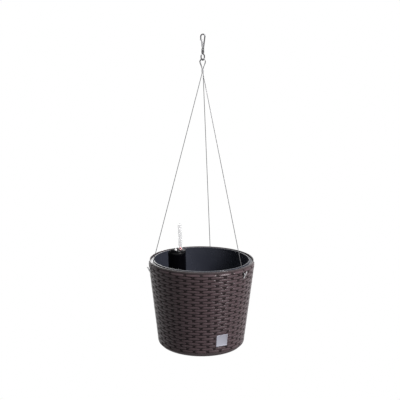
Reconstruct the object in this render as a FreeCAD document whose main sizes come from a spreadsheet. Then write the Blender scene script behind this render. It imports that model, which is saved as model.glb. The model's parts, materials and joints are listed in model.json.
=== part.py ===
"""Self-watering hanging basket: woven-look planter, insert, level gauge, cables and snap hook.

Millimetres, +Z up. The origin is the hanging seat, the inside top of the snap hook's crook.
The pot's own frame has its origin on the pot's axis in the plane of its rim.
"""

import FreeCAD, Part
import math
import os
import re

import Sketcher
from FreeCAD import Placement, Rotation, Vector

SIZES = {
    # the hang
    "hang_drop": 503.6,
    "cable_turn": -40.5,
    "fixings": 3,
    # outer pot
    "pot_height": 200.0,
    "rim_radius": 120.0,
    "rim_wall": 1.6,
    "rim_band": 5.0,
    "shoulder_drop": 9.0,
    "shoulder_swell": 2.4,
    "base_radius": 100.0,
    "base_round": 4.0,
    "pot_wall": 2.4,
    "pot_floor": 2.6,
    "foot_width": 8.0,
    "foot_rise": 1.2,
    "seat_drop": 5.5,
    "rib_count": 9,
    "rib_thickness": 2.0,
    "rib_length": 60.0,
    "rib_clearance": 1.8,
    "hole_drop": 13.6,
    "hole_radius": 4.2,
    "hole_pad": 7.0,
    "weave_top": 4.51,
    "weave_pitch": 6.22,
    "weave_rows": 30,
    "groove_depth": 1.1,
    "groove_half": 1.8,
    "groove_lip": 0.05,
    # insert
    "lip_inset": 10.8,
    "lip_wall": 2.4,
    "lip_drop": 0.0,
    "flange_clearance": 1.2,
    "flange_thickness": 2.0,
    "flange_gap": 0.3,
    "notch_width": 6.0,
    "notch_wall": 0.6,
    "insert_depth": 132.0,
    "insert_gap": 2.6,
    "insert_wall": 1.8,
    "insert_floor": 2.0,
    "well_radius": 18.0,
    "well_pitch": 55.0,
    "well_room": 7.2,
    "well_wall": 1.8,
    "well_turn": -55.5,
    "slot_width": 4.0,
    "slot_height": 34.0,
    # gauge duct
    "duct_turn": 124.5,
    "duct_inset": 2.2,
    "duct_spare": 12.0,
    "duct_radius": 22.0,
    "duct_wall": 1.8,
    "duct_drop": 4.4,
    "cap_thickness": 3.0,
    "cap_gap": 0.2,
    "cap_skirt": 5.0,
    "cap_clearance": 0.3,
    # fill lid
    "fill_out": -8.0,
    "fill_along": 11.8,
    "fill_radius": 4.8,
    "lid_clearance": 0.15,
    "lid_depth": 5.0,
    "lid_flange_radius": 9.2,
    "lid_flange": 2.4,
    "lid_crown_radius": 5.6,
    "lid_crown": 3.2,
    "knob_out": -5.8,
    "knob_foot": 1.6,
    "knob_radius": 3.3,
    "knob_height": 3.6,
    "knob_stem_radius": 1.8,
    "knob_stem": 3.4,
    "knob_spigot_radius": 1.5,
    "knob_spigot": 1.2,
    # water gauge
    "gauge_out": -6.3,
    "gauge_along": -7.2,
    "guide_radius": 6.2,
    "guide_wall": 1.0,
    "guide_top": 5.6,
    "guide_room": 10.2,
    "guide_foot_room": 3.83,
    "guide_slot_width": 3.0,
    "guide_slot_length": 36.0,
    "guide_cap": 2.0,
    "guide_spigot": 4.0,
    "tube_radius": 4.75,
    "tube_wall": 0.9,
    "tube_height": 57.5,
    "tube_tip_radius": 1.3,
    "tube_tip_rise": 1.2,
    "tube_flange_radius": 5.9,
    "tube_flange": 1.4,
    "float_radius": 4.7,
    "float_height": 24.0,
    "float_gap": 0.4,
    "rod_radius": 1.0,
    "flag_radius": 3.5,
    "flag_height": 6.0,
    "flag_drop": 2.6,
    # name plate
    "plate_turn": -63.8,
    "plate_rise": 37.0,
    "plate_side": 27.0,
    "plate_thickness": 1.3,
    "plate_border": 1.7,
    "plate_sink": 0.5,
    "field_margin": 2.0,
    "field_cut": 1.6,
    "plate_gap": 0.05,
    # cables
    "cable_radius": 0.75,
    "cable_bend": 2.6,
    "strand_gap": 0.1,
    "hole_rub": 0.25,
    "loop_turn": -20.0,
    "loop_radius": 7.1,
    "inner_loop_radius": 5.9,
    "loop_clearance": 0.5,
    "sleeve_top": 72.4,
    "sleeve_length": 8.5,
    "sleeve_wall": 0.6,
    "sleeve_bend": 4.0,
    # toggles
    "toggle_length": 19.0,
    "toggle_radius": 1.3,
    "toggle_lean": 27.0,
    "toggle_stand": 4.52,
    "toggle_hang": 2.0,
    "collar_radius": 1.5,
    "collar_length": 3.4,
    "bore_clearance": 0.03,
    # snap hook
    "hook_radius": 1.5,
    "crook_radius": 4.65,
    "spine_radius": 4.3,
    "spine_lean_out": 0.35,
    "spine_foot_out": 1.3,
    "spine_foot_drop": 28.5,
    "nose_drop": 12.0,
    "nose_flat": 2.9,
    "lug_left": 1.9,
    "lug_right": 2.8,
    "lug_half_thickness": 1.6,
    "lug_top": 25.0,
    "barrel_top": 29.6,
    "barrel_bottom": 38.7,
    "barrel_radius": 3.2,
    "window_bottom": 33.2,
    "window_height": 2.0,
    "window_width": 5.3,
    # gate
    "pivot_out": -0.4,
    "pivot_drop": 26.8,
    "pin_radius": 0.7,
    "pin_clearance": 0.05,
    "pin_proud": 0.1,
    "gate_plate": 0.6,
    "web_thinning": 0.25,
    "gate_gap": 0.2,
    "gate_top": 9.6,
    "gate_top_out": 4.45,
    "gate_foot_out": 3.3,
    "gate_depth": 4.0,
    "gate_eye_radius": 1.9,
    "web_foot_drop": 23.5,
    "spring_wire": 0.2,
    "spring_radius": 1.15,
    "spring_pitch": 0.45,
    "spring_turns": 2.5,
    "spring_lean": 11.0,
    "spring_long_leg": 5.6,
    "spring_short_leg": 1.4,
    "spring_room": 1.5,
    "spring_slot": 1.0,
    "spring_leg_room": 0.4,
    # swivel eye
    "eye_turn": 50.0,
    "eye_half_width": 5.6,
    "eye_wire_radius": 1.4,
    "eye_drop": 54.0,
    "eye_height": 13.6,
    "shank_radius": 1.5,
    "head_radius": 2.4,
    "head_height": 1.3,
    "swivel_gap": 0.3,
    # tools that cut
    "cut_spare": 1.0,
}


def following(given):
    """Sizes that follow from the given ones, so that the pieces keep their fit and their gaps."""
    floor = given["pot_height"] - given["foot_rise"] - given["pot_floor"]
    shoulder = given["rim_radius"] + given["shoulder_swell"]
    taper = (shoulder - given["base_radius"]) / (given["pot_height"] - given["shoulder_drop"])
    lip = given["rim_radius"] - given["lip_inset"]
    lip_outside = lip + given["lip_wall"]
    duct_pitch = lip - given["duct_inset"]
    guide_foot = floor - given["guide_cap"] - given["guide_room"]
    toggle_drop = given["hole_drop"] + given["toggle_hang"]

    def wall_outside(drop):
        return shoulder - taper * (drop - given["shoulder_drop"])

    def wall_inside(drop):
        return wall_outside(drop) - given["pot_wall"]

    guide_out = wall_inside(guide_foot) - given["guide_radius"] - given["guide_foot_room"]
    lean = math.atan((duct_pitch + given["gauge_out"] - guide_out) / guide_foot)
    return {
        "shoulder_radius": shoulder,
        "rib_inner": lip_outside + given["rib_clearance"],
        "lip_inner": lip,
        "flange_radius": given["rim_radius"] - given["rim_wall"] - given["flange_clearance"],
        "notch_bottom": lip_outside + given["notch_wall"],
        "insert_floor_radius": wall_inside(given["insert_depth"]) - given["insert_gap"],
        "well_depth": floor - given["insert_depth"] - given["well_room"],
        "duct_pitch": duct_pitch,
        "duct_lean": math.degrees(lean),
        "guide_foot": guide_foot,
        "plate_drop": given["pot_height"] - given["plate_rise"],
        "toggle_drop": toggle_drop,
        "toggle_out": wall_outside(toggle_drop) + given["toggle_stand"],
    }


SIZES.update(following(SIZES))

document = FreeCAD.newDocument("hanging_basket")
sheet = document.addObject("Spreadsheet::Sheet", "sizes")
for row, (alias, amount) in enumerate(SIZES.items(), 1):
    sheet.set(f"A{row}", alias)
    sheet.set(f"B{row}", str(amount))
    sheet.setAlias(f"B{row}", alias)
document.recompute()


class Sheet:
    """The sheet's cells as numbers, for places and for shapes made in code."""

    def __getattr__(self, name):
        return float(sheet.get(name))


size = Sheet()
IN_SHEET = re.compile("|".join(rf"\b{name}\b" for name in SIZES))
POT = Placement(Vector(0, 0, -size.hang_drop), Rotation())


def expression(text):
    return IN_SHEET.sub(lambda found: "sizes." + found.group(), text)


def bind(item, **texts):
    for name, text in texts.items():
        item.setExpression(name, expression(text))
    return item


# ---------------------------------------------------------------- shared makers
def primitive(kind, name, place, **texts):
    item = document.addObject("Part::" + kind, name)
    item.Placement = place
    return bind(item, **texts)


def cut(name, base, tool):
    item = document.addObject("Part::Cut", name)
    item.Base, item.Tool = base, tool
    return item


def common(name, base, tool):
    item = document.addObject("Part::Common", name)
    item.Base, item.Tool = base, tool
    return item


def fuse(name, pieces):
    item = document.addObject("Part::MultiFuse", name)
    item.Shapes = pieces
    return item


def feature(name, shape, place=Placement()):
    item = document.addObject("Part::Feature", name)
    item.Shape = shape
    item.Placement = place
    return item


def turned(degrees):
    """A place on the pot's axis, turned about it."""
    return Placement(Vector(), Rotation(Vector(0, 0, 1), degrees))


def moved(x, y, z, rotation=Rotation()):
    return Placement(Vector(x, y, z), rotation)


def origin_plane(body, role):
    return next(item for item in body.Origin.OriginFeatures if item.Role == role)


def profile(body, name, plane, corners):
    """A closed outline through corners, each a pair of expressions across and up."""
    sketch = body.newObject("Sketcher::SketchObject", name)
    sketch.AttachmentSupport = (origin_plane(body, plane), [""])
    sketch.MapMode = "FlatFace"
    count = len(corners)
    angles = [2 * math.pi * index / count for index in range(count)]
    spread = size.rim_radius / 2
    guesses = [Vector(2 + math.cos(angle), math.sin(angle), 0) * spread for angle in angles]
    nexts = [(index + 1) % count for index in range(count)]
    sketch.addGeometry([Part.LineSegment(guesses[k], guesses[after]) for k, after in enumerate(nexts)])
    held = [Sketcher.Constraint("Coincident", k, 2, after, 1) for k, after in enumerate(nexts)]
    texts = []
    for index, guess in enumerate(guesses):
        held.append(Sketcher.Constraint("DistanceX", -1, 1, index, 1, guess.x))
        held.append(Sketcher.Constraint("DistanceY", -1, 1, index, 1, guess.y))
        texts += corners[index]
    sketch.addConstraint(held)
    for index, text in enumerate(texts, count):
        sketch.setExpression(f"Constraints[{index}]", expression(text))
    return sketch


def revolved(name, corners, place=Placement()):
    """A body of revolution about Z from corners of radius and height."""
    body = document.addObject("PartDesign::Body", name)
    sketch = profile(body, name + "_outline", "XZ_Plane", corners)
    turn = body.newObject("PartDesign::Revolution", name + "_turn")
    turn.Profile = sketch
    turn.ReferenceAxis = (sketch, ["V_Axis"])
    turn.Angle = 360
    body.Tip = turn
    body.Placement = place
    return body


def rounded_wire(points, radii, closed=False):
    """Straight runs through points, joined by tangent arcs of the given radii at the corners."""
    count = len(points)
    corners = range(count) if closed else range(1, count - 1)
    edges = []
    last = None if closed else points[0]
    first = None
    for index, radius in zip(corners, radii):
        corner = points[index]
        arrive = (corner - points[index - 1]).normalize()
        leave = (points[(index + 1) % count] - corner).normalize()
        half_turn = arrive.getAngle(leave) / 2
        reach = radius * math.tan(half_turn)
        inward = (leave - arrive).normalize() * (radius / math.cos(half_turn) - radius)
        enter, middle, depart = corner - arrive * reach, corner + inward, corner + leave * reach
        if last is None:
            first = enter
        elif (enter - last).Length > 1e-4:
            edges.append(Part.LineSegment(last, enter).toShape())
        edges.append(Part.Arc(enter, middle, depart).toShape())
        last = depart
    end = first if closed else points[-1]
    if (end - last).Length > 1e-4:
        edges.append(Part.LineSegment(last, end).toShape())
    return Part.Wire(edges)


def swept(path, radius):
    """A round tube along a wire, and its volume against its section times its length."""
    start = path.OrderedEdges[0]
    centre = start.valueAt(start.FirstParameter)
    along = start.tangentAt(start.FirstParameter)
    ring = Part.Wire([Part.Circle(centre, along, radius).toShape()])
    tube = path.makePipeShell([ring], True, False)
    share = tube.Volume / (math.pi * radius**2 * path.Length)
    arcs = [edge.Curve.Radius for edge in path.Edges if edge.Curve.TypeId == "Part::GeomCircle"]
    bends = ", ".join(f"{arc:.1f}" for arc in arcs)
    print(f"tube of {path.Length:.1f} mm, volume {share:.4f} of section times length, arcs {bends}")
    return tube


def round_rod(name, place, radius, length):
    return primitive("Cylinder", name, place, Radius=radius, Height=length)


# ---------------------------------------------------------------- outer pot
def pot_taper():
    """Change of the outer wall's radius for each millimetre of drop."""
    return (size.shoulder_radius - size.base_radius) / (size.pot_height - size.shoulder_drop)


def outer_radius(drop):
    return size.shoulder_radius - pot_taper() * (drop - size.shoulder_drop)


def make_outer_pot():
    floor_line = "-pot_height + foot_rise"
    shell = revolved(
        "pot_shell",
        [
            ("0", floor_line),
            ("base_radius - foot_width - foot_rise", floor_line),
            ("base_radius - foot_width", "-pot_height"),
            ("base_radius - base_round", "-pot_height"),
            ("base_radius", "-pot_height + base_round"),
            ("shoulder_radius", "-shoulder_drop"),
            ("rim_radius", "-rim_band"),
            ("rim_radius", "0"),
            ("rim_radius - rim_wall", "0"),
            ("rim_radius - rim_wall", "-rim_band"),
            ("shoulder_radius - pot_wall", "-shoulder_drop"),
            ("base_radius - pot_wall", "-pot_height + foot_rise + pot_floor"),
            ("0", "-pot_height + foot_rise + pot_floor"),
        ],
        turned(size.cable_turn + 180 / size.fixings),
    )
    add_ribs(shell)
    document.recompute()
    tools = [make_fixing_hole(index) for index in range(int(size.fixings))]
    tools += [make_plate_field(), make_weave_grooves()]
    pot = cut("outer_pot", shell, fuse("pot_cutters", tools))
    pot.Placement = POT
    return pot


def add_ribs(body):
    """Ribs inside the wall that the insert's flange rests on."""
    inner_wall = "shoulder_radius - pot_wall / 2"
    taper = "(shoulder_radius - base_radius) / (pot_height - shoulder_drop)"
    foot = f"{inner_wall} - {taper} * (seat_drop + rib_length - shoulder_drop)"
    sketch = profile(
        body,
        "rib_outline",
        "XZ_Plane",
        [
            ("rib_inner", "-seat_drop - flange_gap"),
            ("rim_radius - rim_wall / 2", "-seat_drop - flange_gap"),
            (inner_wall, "-shoulder_drop"),
            (foot, "-seat_drop - rib_length"),
        ],
    )
    pad = body.newObject("PartDesign::Pad", "rib")
    pad.Profile = sketch
    pad.Midplane = True
    bind(pad, Length="rib_thickness")
    pattern = body.newObject("PartDesign::PolarPattern", "ribs")
    pattern.Originals = [pad]
    pattern.Axis = (origin_plane(body, "Z_Axis"), [""])
    pattern.Angle = 360
    bind(pattern, Occurrences="rib_count")
    body.Tip = pattern


def through_wall(name, index, radius):
    """A rod through the wall where one cable is fixed."""
    across = Rotation(Vector(0, 1, 0), 90)
    start = outer_radius(size.hole_drop) - size.pot_wall - size.hole_radius
    place = turned(cable_turn(index)) * moved(start, 0, -size.hole_drop, across)
    return round_rod(f"{name}_{index + 1}", place, radius, "pot_wall + 2 * hole_radius")


def make_fixing_hole(index):
    return through_wall("fixing_hole", index, "hole_radius")


def make_weave_grooves():
    """V grooves between the weave's rows, which stop at a plain pad about each hole."""
    wall = "shoulder_radius - (shoulder_radius - base_radius) / (pot_height - shoulder_drop)"
    clear = "shoulder_radius + 2 * cut_spare"
    mouth = "+ groove_lip"
    corners = [(clear, "-shoulder_drop")]
    for row in range(1, int(size.weave_rows) + 1):
        middle = f"weave_top + {row} * weave_pitch"
        for side, depth in (("- groove_half", mouth), ("", "- groove_depth"), ("+ groove_half", mouth)):
            drop = f"({middle} {side})"
            corners.append((f"{wall} * ({drop} - shoulder_drop) {depth}", "-" + drop))
    corners.append((clear, corners[-1][1]))
    pads = [through_wall("hole_pad", index, "hole_pad") for index in range(int(size.fixings))]
    return cut("weave_grooves", revolved("weave_comb", corners), fuse("hole_pads", pads))


def plate_place(depth):
    """The corner-down place of a square against the wall, depth inside its surface."""
    lean = math.degrees(math.atan(pot_taper()))
    out = outer_radius(size.plate_drop) - depth
    facing = Rotation(Vector(0, 1, 0), 90 + lean)
    return turned(size.plate_turn) * moved(out, 0, -size.plate_drop, facing)


def make_plate_field():
    """The flat field in the weave that the plate is glued to."""
    side = size.plate_side + 2 * size.field_margin
    place = plate_place(size.field_cut) * moved(-side / 2, -side / 2, 0)
    return primitive(
        "Box",
        "plate_field",
        place,
        Length="plate_side + 2 * field_margin",
        Width="plate_side + 2 * field_margin",
        Height="field_cut * 4",
    )


def make_name_plate():
    """A bare square plate with a raised border."""
    side, inner = size.plate_side, size.plate_side - 2 * size.plate_border
    back = size.field_cut - size.plate_gap
    slab = primitive(
        "Box",
        "plate_slab",
        plate_place(back) * moved(-side / 2, -side / 2, 0),
        Length="plate_side",
        Width="plate_side",
        Height="plate_thickness",
    )
    panel = primitive(
        "Box",
        "plate_panel",
        plate_place(back - size.plate_thickness + size.plate_sink) * moved(-inner / 2, -inner / 2, 0),
        Length="plate_side - 2 * plate_border",
        Width="plate_side - 2 * plate_border",
        Height="plate_thickness",
    )
    plate = cut("name_plate", slab, panel)
    plate.Placement = POT
    return plate


# ---------------------------------------------------------------- insert and duct
def duct_place():
    """The duct's own frame: X outwards, Y along the rim, Z up along the leaning duct."""
    lean = Rotation(Vector(0, 1, 0), size.duct_lean)
    return turned(size.duct_turn) * moved(size.duct_pitch, 0, 0, lean)


def in_duct(x, y, z):
    return duct_place() * moved(x, y, z)


def make_bowl():
    """The insert's turned shell: lip, flange, wall and floor."""
    floor = "-insert_depth"
    return revolved(
        "insert_bowl",
        [
            ("0", floor),
            ("insert_floor_radius", floor),
            ("lip_inner + lip_wall", "-seat_drop"),
            ("flange_radius", "-seat_drop"),
            ("flange_radius", "-seat_drop + flange_thickness"),
            ("lip_inner + lip_wall", "-seat_drop + flange_thickness"),
            ("lip_inner + lip_wall", "-lip_drop"),
            ("lip_inner", "-lip_drop"),
            ("lip_inner", "-seat_drop"),
            ("insert_floor_radius - insert_wall", floor + " + insert_floor"),
            ("0", floor + " + insert_floor"),
        ],
    )


def inside_of_bowl(name, spare_below, top):
    """The solid that fills the bowl up to a drop of top, and goes on below its floor."""
    taper = "(lip_inner - insert_floor_radius + insert_wall) / (insert_depth - seat_drop)"
    return revolved(
        name,
        [
            ("0", f"-insert_depth - {spare_below}"),
            (
                f"insert_floor_radius - insert_wall - {taper} * {spare_below}",
                f"-insert_depth - {spare_below}",
            ),
            ("lip_inner", "-seat_drop"),
            ("lip_inner", f"-{top}"),
            ("0", f"-{top}"),
        ],
    )


def duct_rod(name, radius, bottom, length):
    return round_rod(name, in_duct(0, 0, bottom), radius, length)


def make_plant_insert():
    low = -size.insert_depth - size.duct_spare
    long = "insert_depth + 2 * duct_spare"
    skin = common(
        "duct_skin",
        duct_rod("duct_outside", "duct_radius", low, long),
        inside_of_bowl("duct_skin_limit", "0", "duct_drop"),
    )
    wells = [make_well(index) for index in range(int(size.fixings))]
    solid = fuse("insert_solid", [make_bowl(), skin] + [well for well, hollow, slots in wells])
    shaft = common(
        "duct_shaft",
        duct_rod("duct_inside", "duct_radius - duct_wall", low, long),
        inside_of_bowl("duct_shaft_limit", "insert_floor * 2", "lip_drop"),
    )
    cutters = [shaft]
    for well, hollow, slots in wells:
        cutters += [hollow, *slots]
    cutters += [make_notch(index) for index in range(int(size.fixings))]
    insert = cut("plant_insert", solid, fuse("insert_cutters", cutters))
    insert.Placement = POT
    return insert


def make_well(index):
    """A soil well that reaches down into the reservoir, with slots for the water."""
    place = turned(size.well_turn + index * 360 / size.fixings)
    bottom = -size.insert_depth - size.well_depth
    centre = place * moved(size.well_pitch, 0, bottom)
    well = round_rod(f"well_{index + 1}", centre, "well_radius", "well_depth + insert_floor / 2")
    hollow = round_rod(
        f"well_hollow_{index + 1}",
        centre * moved(0, 0, size.well_wall),
        "well_radius - well_wall",
        "well_depth + insert_floor",
    )
    slots = [make_slot(index, centre, quarter) for quarter in range(2)]
    return well, hollow, slots


def make_slot(index, centre, quarter):
    """A box right through the well, which leaves a slot in each side."""
    turn = moved(0, 0, 3 * size.well_wall, Rotation(Vector(0, 0, 1), 90 * quarter))
    reach = size.well_radius + size.cut_spare
    return primitive(
        "Box",
        f"slot_{index + 1}_{quarter + 1}",
        centre * turn * moved(-reach, -size.slot_width / 2, 0),
        Length="2 * well_radius + 2 * cut_spare",
        Width="slot_width",
        Height="slot_height",
    )


def make_notch(index):
    """A notch in the flange that a cable passes through."""
    low = -size.seat_drop - size.cut_spare
    return primitive(
        "Box",
        f"notch_{index + 1}",
        turned(cable_turn(index)) * moved(size.notch_bottom, -size.notch_width / 2, low),
        Length="flange_radius - notch_bottom + cut_spare",
        Width="notch_width",
        Height="flange_thickness + 2 * cut_spare",
    )


# ---------------------------------------------------------------- duct cap and fill lid
def upright(x, y, z):
    """An upright place over a point of the duct's frame."""
    base = in_duct(x, y, 0).Base
    return moved(base.x, base.y, z)


def pot_disc(name, bottom, radius, thickness):
    place = turned(size.duct_turn) * moved(0, 0, bottom)
    return round_rod(name, place, radius, thickness)


def make_duct_cap():
    """The cover on the duct's edge, with a skirt in the shaft and holes for gauge and filling."""
    under = -size.duct_drop + size.cap_gap
    skirt_bottom = under - size.cap_skirt
    low = skirt_bottom - size.cap_thickness
    tall = "cap_skirt + cap_thickness * 4"
    plate = common(
        "cap_plate",
        duct_rod("cap_round", "duct_radius", low, tall),
        pot_disc("cap_disc", under, "lip_inner - cap_clearance", "cap_thickness"),
    )
    skirt = common(
        "cap_skirt",
        duct_rod("skirt_round", "duct_radius - duct_wall - cap_clearance", low, tall),
        pot_disc(
            "skirt_disc",
            skirt_bottom,
            "lip_inner - 4 * cap_clearance",
            "cap_skirt + cap_thickness / 2",
        ),
    )
    gauge = in_duct(size.gauge_out, size.gauge_along, low)
    fill = upright(size.fill_out, size.fill_along, low)
    guide_room = f"{-low} - guide_top + tube_flange + 2 * bore_clearance"
    holes = [
        round_rod("tube_hole", gauge, "tube_radius + 3 * bore_clearance", tall),
        round_rod("guide_hole", gauge, "guide_radius + 2 * bore_clearance", guide_room),
        round_rod("fill_hole", fill, "fill_radius", tall),
    ]
    cap = cut("duct_cap", fuse("cap_solid", [plate, skirt]), fuse("cap_holes", holes))
    cap.Placement = POT
    return cap


def cap_top():
    return -size.duct_drop + size.cap_gap + size.cap_thickness


def lid_place(x, z):
    """An upright place over the fill hole, x towards the rim from its middle."""
    return upright(size.fill_out + x, size.fill_along, cap_top() + size.cap_gap + z)


def make_fill_lid():
    """A plug under a crowned flange that is cut away round its pull knob."""
    crown = primitive(
        "Cone",
        "lid_crown_cone",
        lid_place(0, size.lid_flange),
        Radius1="lid_flange_radius",
        Radius2="lid_crown_radius",
        Height="lid_crown",
    )
    plug_place = lid_place(0, -size.lid_depth)
    body = fuse(
        "lid_solid",
        [
            round_rod("lid_plug", plug_place, "fill_radius - lid_clearance", "lid_depth + cut_spare"),
            round_rod("lid_disc", lid_place(0, 0), "lid_flange_radius", "lid_flange"),
            crown,
        ],
    )
    spigot_place = lid_place(size.knob_out, size.knob_foot - size.knob_spigot)
    knob_place = lid_place(size.knob_out, size.knob_foot)
    cutters = fuse(
        "lid_cutters",
        [
            round_rod(
                "spigot_hole",
                spigot_place,
                "knob_spigot_radius + bore_clearance",
                "knob_spigot + cut_spare",
            ),
            round_rod("knob_room", knob_place, "knob_radius + cap_clearance", "lid_flange + lid_crown"),
        ],
    )
    lid = cut("fill_lid", body, cutters)
    lid.Placement = POT
    return lid


def make_lid_knob():
    """The pull knob, held by its spigot in the lid."""
    foot = lid_place(size.knob_out, size.knob_foot - size.knob_spigot)
    knob = fuse(
        "lid_knob",
        [
            round_rod("knob_spigot_rod", foot, "knob_spigot_radius", "knob_spigot + cut_spare"),
            round_rod("knob_grip", lid_place(size.knob_out, size.knob_foot), "knob_radius", "knob_height"),
            round_rod(
                "knob_stem_rod",
                lid_place(size.knob_out, size.knob_foot),
                "knob_stem_radius",
                "knob_height + knob_stem",
            ),
        ],
    )
    knob.Placement = POT
    return knob


# ---------------------------------------------------------------- water gauge
def in_gauge(z):
    """A place on the gauge's axis, z up along it from the rim plane."""
    return in_duct(size.gauge_out, size.gauge_along, z)


def make_gauge_tube():
    """A clear domed tube with a flange that the cap holds down on the guide."""
    foot = in_gauge(-size.guide_top)
    dome = in_gauge(size.tube_height)
    under = in_gauge(-size.guide_top - size.cut_spare)
    bore = "tube_radius - tube_wall"
    outside = fuse(
        "tube_outside",
        [
            round_rod("tube_barrel", foot, "tube_radius", "guide_top + tube_height"),
            primitive("Sphere", "tube_dome", dome, Radius="tube_radius"),
            round_rod("tube_tip", dome, "tube_tip_radius", "tube_radius + tube_tip_rise"),
            round_rod("tube_flange", foot, "tube_flange_radius", "tube_flange"),
        ],
    )
    inside = fuse(
        "tube_inside",
        [
            round_rod("tube_bore", under, bore, "guide_top + tube_height + cut_spare"),
            primitive("Sphere", "tube_dome_inside", dome, Radius=bore),
        ],
    )
    tube = cut("gauge_tube", outside, inside)
    tube.Placement = POT
    return tube


def make_gauge_guide():
    """The guide that the float rides in, open at slots so that water gets in."""
    foot = in_gauge(-size.guide_foot)
    long = "guide_foot - guide_top"
    slots = [
        primitive(
            "Box",
            f"guide_slot_{quarter + 1}",
            foot
            * moved(0, 0, 2 * size.guide_spigot, Rotation(Vector(0, 0, 1), 90 * quarter))
            * moved(-size.guide_radius - size.cut_spare, -size.guide_slot_width / 2, 0),
            Length="2 * guide_radius + 2 * cut_spare",
            Width="guide_slot_width",
            Height="guide_slot_length",
        )
        for quarter in range(2)
    ]
    low = in_gauge(-size.guide_foot - size.cut_spare)
    bore_radius = "guide_radius - guide_wall"
    bore = round_rod("guide_bore", low, bore_radius, long + " + 2 * cut_spare")
    barrel = round_rod("guide_barrel", foot, "guide_radius", long)
    guide = cut("gauge_guide", barrel, fuse("guide_cutters", [bore] + slots))
    guide.Placement = POT
    return guide


def make_guide_foot():
    """The plug that closes the guide's lower end under the float."""
    bottom = in_gauge(-size.guide_foot - size.guide_cap)
    foot = fuse(
        "guide_foot",
        [
            round_rod("foot_disc", bottom, "guide_radius", "guide_cap"),
            round_rod(
                "foot_spigot",
                bottom,
                "guide_radius - guide_wall - bore_clearance",
                "guide_cap + guide_spigot",
            ),
        ],
    )
    foot.Placement = POT
    return foot


def float_bottom():
    return -size.guide_foot + size.guide_spigot + size.float_gap


def make_gauge_float():
    float_body = round_rod("gauge_float", in_gauge(float_bottom()), "float_radius", "float_height")
    float_body.Placement = POT * float_body.Placement
    return float_body


def make_gauge_rod():
    """The rod from the float up into the flag."""
    top = float_bottom() + size.float_height
    place = POT * in_gauge(top)
    return round_rod("gauge_rod", place, "rod_radius", f"{-size.flag_drop - top}")


def make_gauge_flag():
    return round_rod("gauge_flag", POT * in_gauge(-size.flag_drop), "flag_radius", "flag_height")


# ---------------------------------------------------------------- cables, sleeve and toggles
def strand_offset():
    """Half the distance between strands that lie side by side."""
    return size.cable_radius + size.strand_gap / 2


def loop_top():
    """Height of the strands' centreline over the swivel eye's wire."""
    return -size.eye_drop + size.eye_wire_radius + size.cable_radius + size.loop_clearance


def in_loop(across, depth, height):
    """A point in the plane of the loop, which is turned about the pot's axis."""
    return turned(size.loop_turn).multVec(Vector(across, depth, height))


def sleeve_corners(across, depth):
    """The strand's points above and below the sleeve, both clear of its mouths."""
    top = -size.sleeve_top + size.cable_radius
    bottom = -size.sleeve_top - size.sleeve_length - size.cable_radius
    return in_loop(across, depth, top), in_loop(across, depth, bottom)


def loop_shoulder(radius, across):
    """Half width of the square shoulders whose rounding is the loop's top, and its lean."""
    centre = loop_top() - radius
    foot = -size.sleeve_top + size.cable_radius
    fall = centre - foot
    reach = math.hypot(fall, across)
    lean = math.asin(radius / reach) - math.atan(across / fall)
    return radius * math.tan((math.pi / 2 + lean) / 2)


def hole_edge():
    """Radius and height of the centreline where a cable rubs on the top of its hole."""
    height = -size.hole_drop + size.hole_radius - size.cable_radius - size.hole_rub
    inner = outer_radius(-height) - size.pot_wall
    return inner - size.cable_radius - size.hole_rub, height


def on_pot(turn, radius, height):
    """A point in the row's frame from its turn, radius and height in the pot's frame."""
    angle = math.radians(turn)
    return Vector(radius * math.cos(angle), radius * math.sin(angle), height - size.hang_drop)


def cable_turn(index):
    return size.cable_turn + index * 360 / size.fixings


def cable_end(index):
    """The corner at the hole's edge and the end in the toggle's bore."""
    radius, height = hole_edge()
    corner = on_pot(cable_turn(index), radius, height)
    end = on_pot(cable_turn(index), size.toggle_out, -size.toggle_drop)
    along = (end - corner).normalize()
    return corner, end + along * size.toggle_radius


def make_cable_pair():
    """One cable: from the right toggle up, round the swivel eye and down to the left toggle."""
    across, depth = strand_offset(), -strand_offset()
    radius = size.loop_radius
    shoulder = loop_shoulder(radius, across)
    right_edge, right_end = cable_end(0)
    left_edge, left_end = cable_end(2)
    right_top, right_bottom = sleeve_corners(across, depth)
    left_top, left_bottom = sleeve_corners(-across, depth)
    points = [
        right_end,
        right_edge,
        right_bottom,
        right_top,
        in_loop(shoulder, depth, loop_top()),
        in_loop(-shoulder, depth, loop_top()),
        left_top,
        left_bottom,
        left_edge,
        left_end,
    ]
    bend, mouth = size.cable_bend, size.sleeve_bend
    radii = [bend, 2 * mouth, mouth, radius, radius, mouth, 2 * mouth, bend]
    return feature("cable_pair", swept(rounded_wire(points, radii), size.cable_radius))


def make_cable_back():
    """The third cable: up through the sleeve, round the eye and back to end in the sleeve."""
    across, depth = strand_offset(), strand_offset()
    radius = size.inner_loop_radius
    shoulder = loop_shoulder(radius, across)
    edge, end = cable_end(1)
    right_top, right_bottom = sleeve_corners(across, depth)
    left_top, left_bottom = sleeve_corners(-across, depth)
    points = [
        end,
        edge,
        right_bottom,
        right_top,
        in_loop(shoulder, depth, loop_top()),
        in_loop(-shoulder, depth, loop_top()),
        left_top,
        left_bottom + Vector(0, 0, 2 * size.cable_radius),
    ]
    bend, mouth = size.cable_bend, size.sleeve_bend
    radii = [bend, 2 * mouth, mouth, radius, radius, mouth]
    return feature("cable_back", swept(rounded_wire(points, radii), size.cable_radius))


def make_crimp_sleeve():
    """The sleeve pressed round the four strands under the loop."""
    bore = math.sqrt(2) * strand_offset() + size.cable_radius + size.strand_gap / 4
    place = moved(0, 0, -size.sleeve_top - size.sleeve_length)
    outside = round_rod("sleeve_outside", place, f"{bore} + sleeve_wall", "sleeve_length")
    low = place * moved(0, 0, -size.cut_spare)
    inside = round_rod("sleeve_inside", low, f"{bore}", "sleeve_length + 2 * cut_spare")
    return cut("crimp_sleeve", outside, inside)


def facing(direction):
    return Rotation(Vector(0, 0, 1), direction)


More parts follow.
